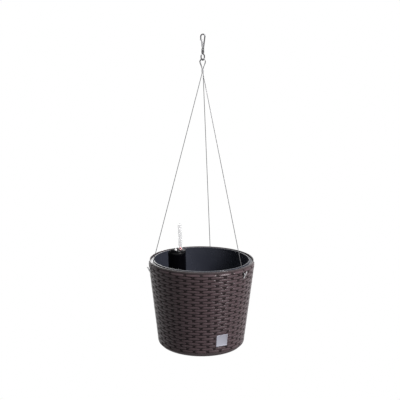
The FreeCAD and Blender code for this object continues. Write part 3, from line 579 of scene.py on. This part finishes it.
def addWeaveRing(name, first, last):
    # the wall's outside less the weave's depth, for some of the rows, closed by a plain back
    heights = ringRows(first, last)
    count = weave["columns"] * weave["perColumn"]
    # columns' lines crowd towards each stake: u - 0.5 sin(2 pi u) / 2 pi
    part = np.arange(count) / weave["perColumn"]
    part = part - 0.5 * np.sin(2 * np.pi * part) / (2 * np.pi)
    turns = weave["firstColumn"] + part * 360 / weave["columns"]
    z, turn = np.meshgrid(heights, turns, indexing="ij")
    depth = smoothPads(turn, z, weaveDepth(turn, z))
    radius = wallRadius(z) - depth
    angle = np.radians(turn)
    front = np.stack([radius * np.cos(angle), radius * np.sin(angle), z], -1)
    front, flat = flatField(front)
    back = wallRadius(z[[-1, 0]]) - wall["skin"] - weave["back"]
    spin = np.radians(turn[:2])
    rear = np.stack([back * np.cos(spin), back * np.sin(spin), z[[-1, 0]]], -1)
    grid = np.concatenate([front, rear]) * mm + [0, 0, rimHeight]
    # painted shade: points darken as they lie deeper in the grooves, none on the plate's field; the hidden
    # back is fully shaded
    painted_shade = smooth(weave["paintedShadeFrom"], weave["paintedShadeTo"], depth) * (1 - flat)
    painted_shade = np.concatenate([painted_shade, np.ones((2, count))])
    lip = weave["lip"]
    drop = np.concatenate([heights, [heights[-1] - lip, heights[0] + lip, heights[0]]]) * mm
    girth = 2 * math.pi * weave["uvRadius"] / count
    uv = (lambda i, j: j * girth, lambda i, j: drop[i])
    return addGrid(name, grid, True, True, uv, painted_shade)


def shellProfile():
    # the wall's section from the axis under the floor, up its outside and down its inside
    w = wall
    top = weave["firstRow"] + weave["pitch"] / 2
    bottom = top - weave["rows"] * weave["pitch"]
    behind = w["skin"]
    underside = -w["height"] + w["footRise"]

    def outside(z):
        return float(wallRadius(np.array(z)))

    corners = [
        (0, underside, 0),
        (w["base"] - w["footWidth"] - w["footRise"], underside, 0.5),
        (w["base"] - w["footWidth"], -w["height"], 0.5),
        (w["base"] - w["baseRound"] - w["toe"], -w["height"], 2.0),
        (w["base"] - 0.1, -w["height"] + w["baseRound"] + w["toe"], 5.0),
        (outside(bottom) - 0.15, bottom, 0.4),
        (outside(bottom) - behind, bottom, 0),
        (outside(-w["shoulderDrop"]) - behind, -w["shoulderDrop"], 0),
        (w["rim"] - behind + 0.3, top, 0),
        (w["rim"] - 0.05, top, 0.3),
        (w["rim"] - 0.02, -0.02, 0.4),
        (w["rimInner"], -0.02, 0.35),
        (w["rimInner"], -w["band"], 0.5),
        (w["shoulder"] - w["thickness"], -w["shoulderDrop"], 1.0),
        (w["base"] - w["thickness"], underside + w["floor"], 2.0),
        (0, underside + w["floor"], 0),
    ]
    return roundCorners(corners, 6)


def bakeModifiers(piece):
    # the mesh becomes what its modifiers make of it
    graph = bpy.context.evaluated_depsgraph_get()
    mesh = bpy.data.meshes.new_from_object(piece.evaluated_get(graph))
    piece.modifiers.clear()
    piece.data = mesh


def cutWith(piece, cutters):
    # the piece less every cutter
    for cutter in cutters:
        hole = piece.modifiers.new("hole", "BOOLEAN")
        hole.operation = "DIFFERENCE"
        hole.solver = "EXACT"
        hole.object = cutter
    bpy.context.view_layer.update()
    bakeModifiers(piece)


def crease(piece, angle=35):
    # edges sharper than the angle keep their own shading on each side
    piece.data.set_sharp_from_angle(angle=math.radians(angle))
    return piece


def removeAll(cutters):
    # cutters are only in the way once they have cut
    for cutter in cutters:
        bpy.data.objects.remove(cutter)


def addRod(radius, low, high, place, segments=48):
    # a plain closed rod, used only to cut with
    profile = [(0, low), (radius, low), (radius, high), (0, high)]
    return turnProfile("cutter", profile, segments, place)


def throughWall(turn, drop):
    # a frame whose upright axis points out through the wall at that turn and drop
    angle = math.radians(turn)

    def place(points):
        x, y, z = points[..., 0], points[..., 1], points[..., 2]
        spots = [z * math.cos(angle) - y * math.sin(angle), z * math.sin(angle) + y * math.cos(angle)]
        return inPot(np.stack([*spots, x - drop], -1))

    return place


def dress(piece, body, material):
    # a piece gets its material and the body it moves with
    piece.data.materials.clear()
    piece.data.materials.append(material)
    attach(piece, body)
    return piece


def paintHoleShade(piece):
    # painted shade: points nearer to a hole's axis than its radius and a little get the full painted shade
    # value, so the holes' walls show dark
    spots = np.empty(len(piece.data.vertices) * 3, np.float32)
    piece.data.vertices.foreach_get("co", spots)
    spots = spots.reshape(-1, 3) / mm - [0, 0, rimHeight / mm]
    found = piece.data.attributes.get("painted_shade") or piece.data.attributes.new("painted_shade", "FLOAT", "POINT")
    deep = np.zeros(len(spots), np.float32)
    found.data.foreach_get("value", deep)
    for turn in fixing["turns"]:
        out = np.array([math.cos(math.radians(turn)), math.sin(math.radians(turn))])
        aside = spots[:, 1] * out[0] - spots[:, 0] * out[1]
        near = np.hypot(aside, spots[:, 2] + fixing["drop"]) < fixing["radius"] + fixing["shade"]
        deep[near & (spots[:, :2] @ out > fixing["wallFrom"])] = 1
    found.data.foreach_set("value", deep)


woven = wovenMaterial()
middleRow = weave["rows"] // 2
upperWeave = addWeaveRing("weave_upper", 0, middleRow)
lowerWeave = addWeaveRing("weave_lower", middleRow, weave["rows"])
shell = turnProfile("pot_shell", shellProfile(), wall["segments"])
holeCutters = [
    addRod(fixing["radius"], *fixing["reach"], throughWall(turn, fixing["drop"]))
    for turn in fixing["turns"]
]
for piece in (upperWeave, shell):
    cutWith(piece, holeCutters)
    paintHoleShade(piece)
removeAll(holeCutters)
crease(shell)
for piece in (shell, upperWeave, lowerWeave):
    dress(piece, "basket", woven)
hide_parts("outer_pot")
print("pot done", len(upperWeave.data.polygons), len(lowerWeave.data.polygons))


# each finish: colour, what it drifts to, fineness of the grain, bump, roughness, metallic, specular
finishes = {
    "shell_plastic": ((0.040, 0.028, 0.030), (0.052, 0.037, 0.040), 260, 0.00003, (0.18, 0.28), 0.0, 0.4),
    "insert_plastic": ((0.026, 0.029, 0.040), (0.032, 0.035, 0.047), 300, 0.00002, (0.22, 0.32), 0.0, 0.5),
    # painted shade: a near-black shaded copy of the insert's plastic, for the duct
    "duct_plastic": ((0.001, 0.001, 0.0015), (0.002, 0.002, 0.003), 300, 0.00002, (0.2, 0.3), 0.0, 0.15),
    "black_plastic": ((0.002, 0.002, 0.003), (0.004, 0.004, 0.005), 600, 0.00004, (0.42, 0.52), 0.0, 0.1),
    "white_plastic": ((0.80, 0.80, 0.79), (0.74, 0.74, 0.73), 500, 0.00003, (0.32, 0.45), 0.0, 0.5),
    "red_plastic": ((0.36, 0.004, 0.02), (0.44, 0.008, 0.03), 500, 0.00003, (0.25, 0.4), 0.0, 0.5),
    "plate_metal": ((0.33, 0.335, 0.39), (0.37, 0.375, 0.43), 700, 0.00002, (0.38, 0.5), 0.25, 0.5),
    "cable_steel": ((0.15, 0.15, 0.155), (0.08, 0.08, 0.085), 900, 0.00002, (0.3, 0.45), 0.9, 0.5),
    "sleeve_metal": ((0.40, 0.40, 0.41), (0.32, 0.32, 0.33), 900, 0.00004, (0.35, 0.5), 0.9, 0.5),
    "toggle_steel": ((0.62, 0.62, 0.63), (0.48, 0.48, 0.49), 900, 0.00003, (0.25, 0.4), 0.9, 0.5),
    "hook_chrome": ((0.14, 0.14, 0.145), (0.09, 0.09, 0.095), 500, 0.00002, (0.10, 0.20), 1.0, 0.5),
    "gate_steel": ((0.42, 0.42, 0.43), (0.30, 0.30, 0.31), 700, 0.00003, (0.25, 0.4), 1.0, 0.5),
}

clearLook = {
    "colour": (0.9, 0.9, 0.905, 1),
    "passes": 0.9,
    "bends": 1.1,  # set low, so that the thin tube stays light
    "grain": 300,
    "bump": 0.0000005,
    "roughness": (0.02, 0.06),
}


def clearMaterial():
    # plastic that lets most light through and bends it a little
    look = clearLook
    material, tree, shader = newMaterial("clear_plastic")
    shader.inputs["Base Color"].default_value = look["colour"]
    shader.inputs["Transmission Weight"].default_value = look["passes"]
    shader.inputs["IOR"].default_value = look["bends"]
    surfaceDetail(tree, shader, look["grain"], look["bump"], look["roughness"])
    return material


finish = {name: plainMaterial(name, *values) for name, values in finishes.items()}
finish["clear_plastic"] = clearMaterial()
slots = {entry["node"]: entry["material_slot"] for entry in frame["record"]["subparts"]}
bodies = frame["record"]["behaviour"]["bodies"]
riders = {node: body for body, held in bodies.items() for node in held}

rimPolish = {"low": 4.0, "high": 1.0, "dull": 0.75, "bright": 0.14}  # drops, then roughness


def shellMaterial(material):
    # dull up to low millimetres under the rim, polished from high millimetres under it
    tree = material.node_tree
    shader = tree.nodes["Principled BSDF"]
    place = addNode(tree, "ShaderNodeTexCoord").outputs["Object"]
    parts = addNode(tree, "ShaderNodeSeparateXYZ")
    tree.links.new(place, parts.inputs[0])
    polish = addNode(tree, "ShaderNodeMapRange")
    low, high = (rimHeight - rimPolish[key] * mm for key in ("low", "high"))
    setInputs(polish, {"From Min": low, "From Max": high})
    setInputs(polish, {"To Min": rimPolish["dull"], "To Max": rimPolish["bright"]})
    tree.links.new(parts.outputs["Z"], polish.inputs["Value"])
    tree.links.new(polish.outputs["Result"], shader.inputs["Roughness"])
    # painted shade: points marked around the fixing holes turn dark
    paintPitShade(tree, shader, shader.inputs["Base Color"].links[0].from_socket)
    return material


def joinNode(piece, node):
    # a piece takes a node's body and finish
    return dress(piece, riders[node], finish[slots[node]])


def standFor(piece, node):
    # it also takes the node's place
    joinNode(piece, node)
    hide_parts(node)
    return piece


for name, (piece, path) in cables.items():
    standFor(piece, "cable_" + name)

ribs = {
    "count": 9,
    "turn": 19.5,
    "inner": 113.4,
    "drop": 5.8,
    "length": 60.0,
    "thickness": 2.0,
    "rimGap": 0.8,
    "behind": 2.05,  # how far its outer edge stays under the wall's outside
}


def addRibs(look):
    # upright wedges inside the wall that the insert's flange rests on
    wallIn = wall["shoulder"] - look["behind"]
    outline = np.array(
        [
            (look["inner"], -look["drop"]),
            (wall["rim"] - look["rimGap"], -look["drop"]),
            (wallIn, -wall["shoulderDrop"]),
            (float(wallRadius(np.array(-look["length"]))) - look["behind"], -look["length"]),
        ]
    )
    # each side's middle point, its edge, then the other side's edge and middle point
    middle = np.repeat(outline.mean(0)[None], len(outline), 0)
    sections = np.array([middle, outline, outline, middle])
    offset = np.array([-1, -1, 1, 1])[:, None] * look["thickness"] / 2
    for k in range(look["count"]):
        turn = math.radians(look["turn"] + k * 360 / look["count"])
        across = sections[..., 0] * math.cos(turn) - offset * math.sin(turn)
        along = sections[..., 0] * math.sin(turn) + offset * math.cos(turn)
        sheets = np.stack([across, along, sections[..., 1]], -1)
        piece = weld(addGrid(f"rib_{k + 1}", inPot(sheets), False, True))
        piece.data.polygons.foreach_set("use_smooth", np.zeros(len(piece.data.polygons), bool))
        dress(piece, "basket", woven)


addRibs(ribs)
print("ribs done")

insert = {
    "lipInner": 109.2,
    "lipWall": 2.4,
    "flangeRadius": 117.2,
    "flangeDrop": 5.5,
    "flange": 2.0,
    "depth": 132.0,
    "floorRadius": 102.97,
    "wall": 1.8,
    "floor": 2.0,
    "wellTurns": (-55.5, 64.5, 184.5),
    "wellPitch": 55.0,
    "wellRadius": 18.0,
    "wellDepth": 57.0,
    "slotWidth": 4.0,
    "slotHeight": 34.0,
    "slotFoot": 5.4,
    "notchWidth": 6.0,
    "notch": (112.3, 120),  # from and to this radius the notch is cut
    "edge": 1.0,  # how far a well's wall reaches under and over the hole in the floor
    "cut": 8.0,
    "segments": 240,
}
duct = {
    "turn": 124.5,
    "pitch": 107.0,
    "lean": 3.5,
    "radius": 22.0,
    "wall": 1.8,
    "drop": 4.4,
    "flare": 3.4,  # how far its feet spread along the bowl's wall
    "flareFrom": 60.0,  # degrees from the middle of its front
    "roundFrom": 0.8,  # its top edge is rounded between these two drops
    "roundTo": 0.1,
    "roundBy": 0.35,
    "edge": 1.5,
    "cut": (-5, 6),
}


def inDuct(points):
    # the duct's frame: x outwards, y along the rim, z up its leaning axis
    turn, lean = math.radians(duct["turn"]), math.radians(duct["lean"])
    x, y, z = points[..., 0], points[..., 1], points[..., 2]
    out = duct["pitch"] + x * math.cos(lean) + z * math.sin(lean)
    height = z * math.cos(lean) - x * math.sin(lean)
    spots = [out * math.cos(turn) - y * math.sin(turn), out * math.sin(turn) + y * math.cos(turn)]
    return inPot(np.stack([*spots, height], -1))


def over(place, x, y, z):
    # the same frame with its origin moved
    return lambda points: place(points + [x, y, z])


def inTurn(turn, out, height):
    # an upright frame at a turn about the pot's axis
    angle = math.radians(turn)
    middle = np.array([out * math.cos(angle), out * math.sin(angle), height])
    return lambda points: inPot(points + middle)


def addBowl(look):
    # a turned bowl with a lip and a flange, cut for the wells, the duct's foot and the cables
    floor, lip = -look["depth"], look["lipInner"]
    outside = lip + look["lipWall"]
    ledge = -look["flangeDrop"] + look["flange"]
    corners = [
        (0, floor, 0),
        (look["floorRadius"], floor, 3.0),
        (outside, -look["flangeDrop"], 0.3),
        (look["flangeRadius"], -look["flangeDrop"], 0.6),
        (look["flangeRadius"], ledge, 0.6),
        (outside, ledge, 0.8),
        (outside, 0, 0.6),
        (lip, 0, 0.6),
        (lip, -look["flangeDrop"], 6.0),
        (look["floorRadius"] - look["wall"], floor + look["floor"], 5.0),
        (0, floor + look["floor"], 0),
    ]
    bowl = turnProfile("insert_bowl", roundCorners(corners, 7), look["segments"])
    hole, cut = look["wellRadius"] - look["edge"], look["cut"]
    rods = [addRod(hole, -cut, cut, inTurn(turn, look["wellPitch"], floor)) for turn in look["wellTurns"]]
    foot = duct["radius"] - duct["wall"] - duct["edge"]
    rods.append(addRod(foot, *duct["cut"], over(inDuct, 0, 0, floor)))
    half, drop = look["notchWidth"] / 2, look["flangeDrop"] - look["flange"] / 2
    rods += [addRod(half, *look["notch"], throughWall(turn, drop), 32) for turn in fixing["turns"]]
    cutWith(bowl, rods)
    removeAll(rods)
    return bowl


def addWell(look, index):
    # a cup under the floor, with a slot through each side for the water
    turn, thick = look["wellTurns"][index], look["wall"]
    low, r = -look["depth"] - look["wellDepth"], look["wellRadius"]
    tall = look["wellDepth"] + look["edge"]
    corners = [
        (0, 0, 0),
        (r, 0, 2.0),
        (r, tall, 0.3),
        (r - thick, tall, 0.3),
        (r - thick, thick, 1.5),
        (0, thick, 0),
    ]
    place = inTurn(turn, look["wellPitch"], low)
    well = turnProfile(f"insert_well_{index + 1}", roundCorners(corners, 5), 96, place)
    half, foot = look["slotWidth"] / 2, look["slotFoot"]
    cutters = []
    for quarter in range(2):
        angle = math.radians(turn + 90 * quarter)
        across = np.array([-math.sin(angle), math.cos(angle), 0]) * half
        along = np.array([math.cos(angle), math.sin(angle), 0]) * (r + 1)
        ring = [(-across - along), (across - along), (across + along), (-across + along)]
        levels = [np.array(ring) + [0, 0, z] for z in (foot, foot + look["slotHeight"])]
        ends = [np.repeat(level.mean(0)[None], 4, 0) for level in levels]
        grid = np.array([ends[0], *levels, ends[1]])
        cutters.append(weld(addGrid("cutter", place(grid), False, True)))
    cutWith(well, cutters)
    removeAll(cutters)
    return well


def ductSection(angle, reach):
    # half circle of the duct's radius whose last part spreads by flare times the cube of the rest
    rest = np.clip((np.abs(angle) - duct["flareFrom"]) / (90 - duct["flareFrom"]), 0, 1)
    return reach + duct["flare"] * rest**3


def addDuctSkin():
    # the section's front and back, one behind the other, carried up the leaning axis; its ends
    # close on the line half way between them, and near the top both draw in to round the edge
    low, high = -duct["drop"] - duct["roundFrom"], -duct["drop"] - duct["roundTo"]
    bottom = -insert["depth"] + insert["floor"] / 2
    heights = np.concatenate([np.linspace(bottom, low, 24), [high - 0.2, high]])
    angles = np.linspace(-90, 90, 73)
    front = ductSection(angles, duct["radius"])
    back = np.full(len(angles), duct["radius"] - duct["wall"])
    sweep = np.radians(np.concatenate([angles, angles[::-1]]))
    z = np.repeat(heights[:, None], len(sweep), 1)
    ease = duct["roundBy"] * np.maximum(0, (z - low) / (high - low))
    radius = np.concatenate([front, back]) + ease * np.repeat([-1, 1], len(angles))
    out = math.tan(math.radians(duct["lean"])) * z - radius * np.cos(sweep) + duct["pitch"]
    aside = radius * np.sin(sweep)
    turn = math.radians(duct["turn"])
    across = out * math.cos(turn) - aside * math.sin(turn)
    along = out * math.sin(turn) + aside * math.cos(turn)
    grid = np.stack([across, along, z], -1)
    ends = [(grid[[k]] + grid[[k], ::-1]) / 2 for k in (0, -1)]
    return weld(addGrid("insert_duct", inPot(np.concatenate([ends[0], grid, ends[1]])), False, True))


bowl = crease(addBowl(insert))
standFor(bowl, "plant_insert")
for index in range(len(insert["wellTurns"])):
    joinNode(crease(addWell(insert, index)), "plant_insert")
ductSkin = joinNode(crease(addDuctSkin()), "plant_insert")
# painted shade: the duct gets a near-black shaded copy of the insert's plastic
ductSkin.data.materials[0] = finish["duct_plastic"]
shell.data.materials[0] = shellMaterial(finish["shell_plastic"])
print("insert done", len(bowl.data.polygons))

lid = {
    "along": 11.8,
    "out": -8.0,
    "foot": -0.8,  # the underside of its flange
    "plug": 4.65,
    "depth": 5.0,
    "flangeRadius": 9.2,
    "flange": 2.4,
    "crownRadius": 5.6,
    "crown": 3.2,
    "knobOut": -5.8,
    "knobFoot": 1.6,
    "knobRadius": 3.3,
    "knobHeight": 3.6,
    "knobRoom": 0.3,
    "stemRadius": 1.8,
    "stem": 3.4,
    "pegRadius": 1.5,
    "peg": 1.2,
}
gauge = {
    "out": -6.3,
    "along": -7.2,
    "foot": -5.6,
    "radius": 4.75,
    "wall": 0.9,
    "height": 57.5,
    "flangeRadius": 5.9,
    "flange": 1.4,
    "tip": [(1.25, 5.1), (1.1, 5.7), (0.5, 5.95), (0, 5.95)],  # radius and height over the dome's foot
    "segments": 72,
}


def overFill(x, z):
    # an upright frame over the fill hole, x towards the rim
    turn, lean = math.radians(duct["turn"]), math.radians(duct["lean"])
    out, aside = duct["pitch"] + (lid["out"] + x) * math.cos(lean), lid["along"]
    across = out * math.cos(turn) - aside * math.sin(turn)
    along = out * math.sin(turn) + aside * math.cos(turn)
    return lambda points: inPot(points + [across, along, lid["foot"] + z])


def addLid(look):
    # a turned cover with a plug below and a crown above, cut out for the knob
    top = look["flange"] + look["crown"]
    corners = [
        (0, -look["depth"], 0),
        (look["plug"], -look["depth"], 0.6),
        (look["plug"], 0, 0.2),
        (look["flangeRadius"], 0, 0.3),
        (look["flangeRadius"], look["flange"], 1.2),
        (look["crownRadius"] + 1.0, top - 0.9, 2.5),
        (0, top, 0),
    ]
    cover = turnProfile("lid_cover", roundCorners(corners, 7), 96, overFill(0, 0))
    place = overFill(look["knobOut"], look["knobFoot"])
    room = addRod(look["knobRadius"] + look["knobRoom"], 0, 12, place, 64)
    cutWith(cover, [room])
    removeAll([room])
    return cover


def addKnob(look):
    # a turned knob with a peg below and a narrower stem above
    tall = look["knobHeight"] + look["stem"]
    corners = [
        (0, -look["peg"], 0),
        (look["pegRadius"], -look["peg"], 0.2),
        (look["pegRadius"], 0, 0),
        (look["knobRadius"], 0, 0.5),
        (look["knobRadius"], look["knobHeight"], 0.9),
        (look["stemRadius"] + 0.1, look["knobHeight"], 0.5),
        (look["stemRadius"], tall, 0.8),
        (0, tall, 0),
    ]
    place = overFill(look["knobOut"], look["knobFoot"])
    return turnProfile("pull_knob", roundCorners(corners, 7), 72, place)


def addTube(look):
    # a clear tube turned about the duct's axis: straight wall, round dome, small tip, hollow
    r, bore, top = look["radius"], look["radius"] - look["wall"], look["height"]
    foot, shoulder = look["foot"], look["foot"] + look["flange"]
    heights = np.linspace(shoulder + 0.1, top, 8)
    dome = np.radians(np.linspace(6, 74, 10))
    hollow = np.radians(np.linspace(90, 0, 12))
    flange = [(look["flangeRadius"], foot), (look["flangeRadius"], shoulder)]
    tip = [(radius, top + height) for radius, height in look["tip"]]
    outside = [(r, z) for z in heights] + [(r * math.cos(a), top + r * math.sin(a)) for a in dome]
    inside = [(bore * math.cos(a), top + bore * math.sin(a)) for a in hollow]
    rings = [(bore, foot), *flange, *outside, *tip, *inside]
    place = over(inDuct, look["out"], look["along"], 0)
    return turnProfile("gauge_sleeve", rings, look["segments"], place)


standFor(addTube(gauge), "gauge_tube")
standFor(crease(addLid(lid)), "fill_lid")
standFor(crease(addKnob(lid)), "lid_knob")
print("duct fittings done")


# doubles closer than merge become one, faces flatter than flat join, edges past sharp are rounded
copyLook = {"merge": 2e-6, "flat": 1.5, "sharp": 32, "segments": 2, "crease": 40}


def copyNode(node, name):
    # a copy of a node under a name of its own
    piece = nodes[node].copy()
    piece.data = nodes[node].data.copy()
    piece.name = name
    scene.collection.objects.link(piece)
    return piece


def shadeSmooth(piece):
    # smooth faces that meet in creases
    piece.data.polygons.foreach_set("use_smooth", np.ones(len(piece.data.polygons), bool))
    return crease(piece, copyLook["crease"])


def softened(node, width):
    # a copy of a node with its doubles merged and its sharp edges rounded
    piece = copyNode(node, node + "_soft")
    work = bmesh.new()
    work.from_mesh(piece.data)
    bmesh.ops.remove_doubles(work, verts=work.verts, dist=copyLook["merge"])
    flat, limit = math.radians(copyLook["flat"]), math.radians(copyLook["sharp"])
    bmesh.ops.dissolve_limit(work, angle_limit=flat, verts=work.verts, edges=work.edges)
    sharp = [e for e in work.edges if len(e.link_faces) == 2 and e.calc_face_angle(0) > limit]
    bmesh.ops.bevel(
        work,
        geom=sharp,
        offset=width,
        offset_type="OFFSET",
        segments=copyLook["segments"],
        profile=0.5,
        affect="EDGES",
        clamp_overlap=True,
    )
    bmesh.ops.triangulate(work, faces=work.faces)
    work.to_mesh(piece.data)
    work.free()
    return shadeSmooth(piece)


edgeWidths = {
    "name_plate": 0.0003,
    "duct_cap": 0.0004,
    "hook_gate": 0.0002,
    "guide_foot": 0.0003,
    "gauge_float": 0.0005,
}
for node, width in edgeWidths.items():
    standFor(softened(node, width), node)
print("edges rounded")


def addSpring():
    # a copy of the spring, welded, smooth shaded and given the spring's finish, left in place with no body
    # to move with
    piece = copyNode("gate_spring", "closing_spring")
    piece.parent = None
    shadeSmooth(weld(piece, copyLook["merge"]))
    piece.data.materials.clear()
    piece.data.materials.append(finish[slots["gate_spring"]])
    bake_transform(piece)
    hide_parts("gate_spring")


addSpring()

for entry in frame["record"]["subparts"]:
    node, slotName = entry["node"], entry["material_slot"]
    if slotName in finish:
        nodes[node].data.materials.clear()
        nodes[node].data.materials.append(finish[slotName])
print("materials done")

stageLook = {
    "floorDrop": 1.9,
    "floorSize": 14.0,
    "floor": (0.8, 0.8, 0.8),
    "floorRoughness": 0.9,
    "light": 0.06,
    "aimDrop": 0.06,  # the lamps point this far under the rim
}
# each lamp: name, place, size, power, tint
lamps = [
    ("key", (1.65, -1.2, 1.0), 0.9, 92, (1.0, 0.98, 0.99)),
    ("back", (-0.7, 2.0, 0.7), 1.4, 24, (1.0, 0.99, 0.98)),
    ("top", (0.1, 0.0, 1.6), 1.4, 16, (0.97, 0.98, 1.0)),
]


def seenWhite(tree, other, whiteOutput):
    # white to the camera, to mirrors and through glass; the other shader to diffuse light
    path = addNode(tree, "ShaderNodeLightPath")
    first = addNode(tree, "ShaderNodeMath", operation="MAXIMUM")
    second = addNode(tree, "ShaderNodeMath", operation="MAXIMUM")
    tree.links.new(path.outputs["Is Camera Ray"], first.inputs[0])
    tree.links.new(path.outputs["Is Glossy Ray"], first.inputs[1])
    tree.links.new(first.outputs[0], second.inputs[0])
    tree.links.new(path.outputs["Is Transmission Ray"], second.inputs[1])
    mix = addNode(tree, "ShaderNodeMixShader")
    tree.links.new(second.outputs[0], mix.inputs[0])
    tree.links.new(other, mix.inputs[1])
    tree.links.new(whiteOutput, mix.inputs[2])
    return mix.outputs[0]


def addStage():
    # a floor far below and a world, both dim to the object and white to the camera
    size = stageLook["floorSize"]
    mesh = bpy.data.meshes.new("floor")
    corners = [(-size, -size, 0), (size, -size, 0), (size, size, 0), (-size, size, 0)]
    mesh.from_pydata([(x, y, -stageLook["floorDrop"]) for x, y, z in corners], [], [(0, 1, 2, 3)])
    floor = bpy.data.objects.new("floor", mesh)
    scene.collection.objects.link(floor)
    material, tree, shader = newMaterial("paleFloor")
    setInputs(shader, {"Base Color": (*stageLook["floor"], 1), "Roughness": stageLook["floorRoughness"]})
    white = addNode(tree, "ShaderNodeEmission", Strength=1.0)
    output = tree.nodes["Material Output"]
    tree.links.new(seenWhite(tree, shader.outputs[0], white.outputs[0]), output.inputs["Surface"])
    mesh.materials.append(material)
    world = bpy.data.worlds.new("studio")
    scene.world = world
    world.use_nodes = True
    tree = world.node_tree
    plain = tree.nodes["Background"]
    setInputs(plain, {"Color": (1, 1, 1, 1), "Strength": stageLook["light"]})
    white = addNode(tree, "ShaderNodeBackground", Color=(1, 1, 1, 1), Strength=1.0)
    output = tree.nodes["World Output"]
    tree.links.new(seenWhite(tree, plain.outputs[0], white.outputs[0]), output.inputs["Surface"])


def addLamp(name, place, size, power, tint):
    # a square lamp that faces the basket
    data = bpy.data.lights.new(name, "AREA")
    data.size = size
    data.energy = power
    data.color = tint
    lamp = bpy.data.objects.new(name, data)
    scene.collection.objects.link(lamp)
    aim = Vector((0, 0, rimHeight - stageLook["aimDrop"]))
    lamp.location = Vector(place)
    lamp.rotation_euler = (aim - lamp.location).to_track_quat("-Z", "Y").to_euler()


addStage()
for lamp in lamps:
    addLamp(*lamp)
scene.view_settings.view_transform = "Standard"
print("stage done")
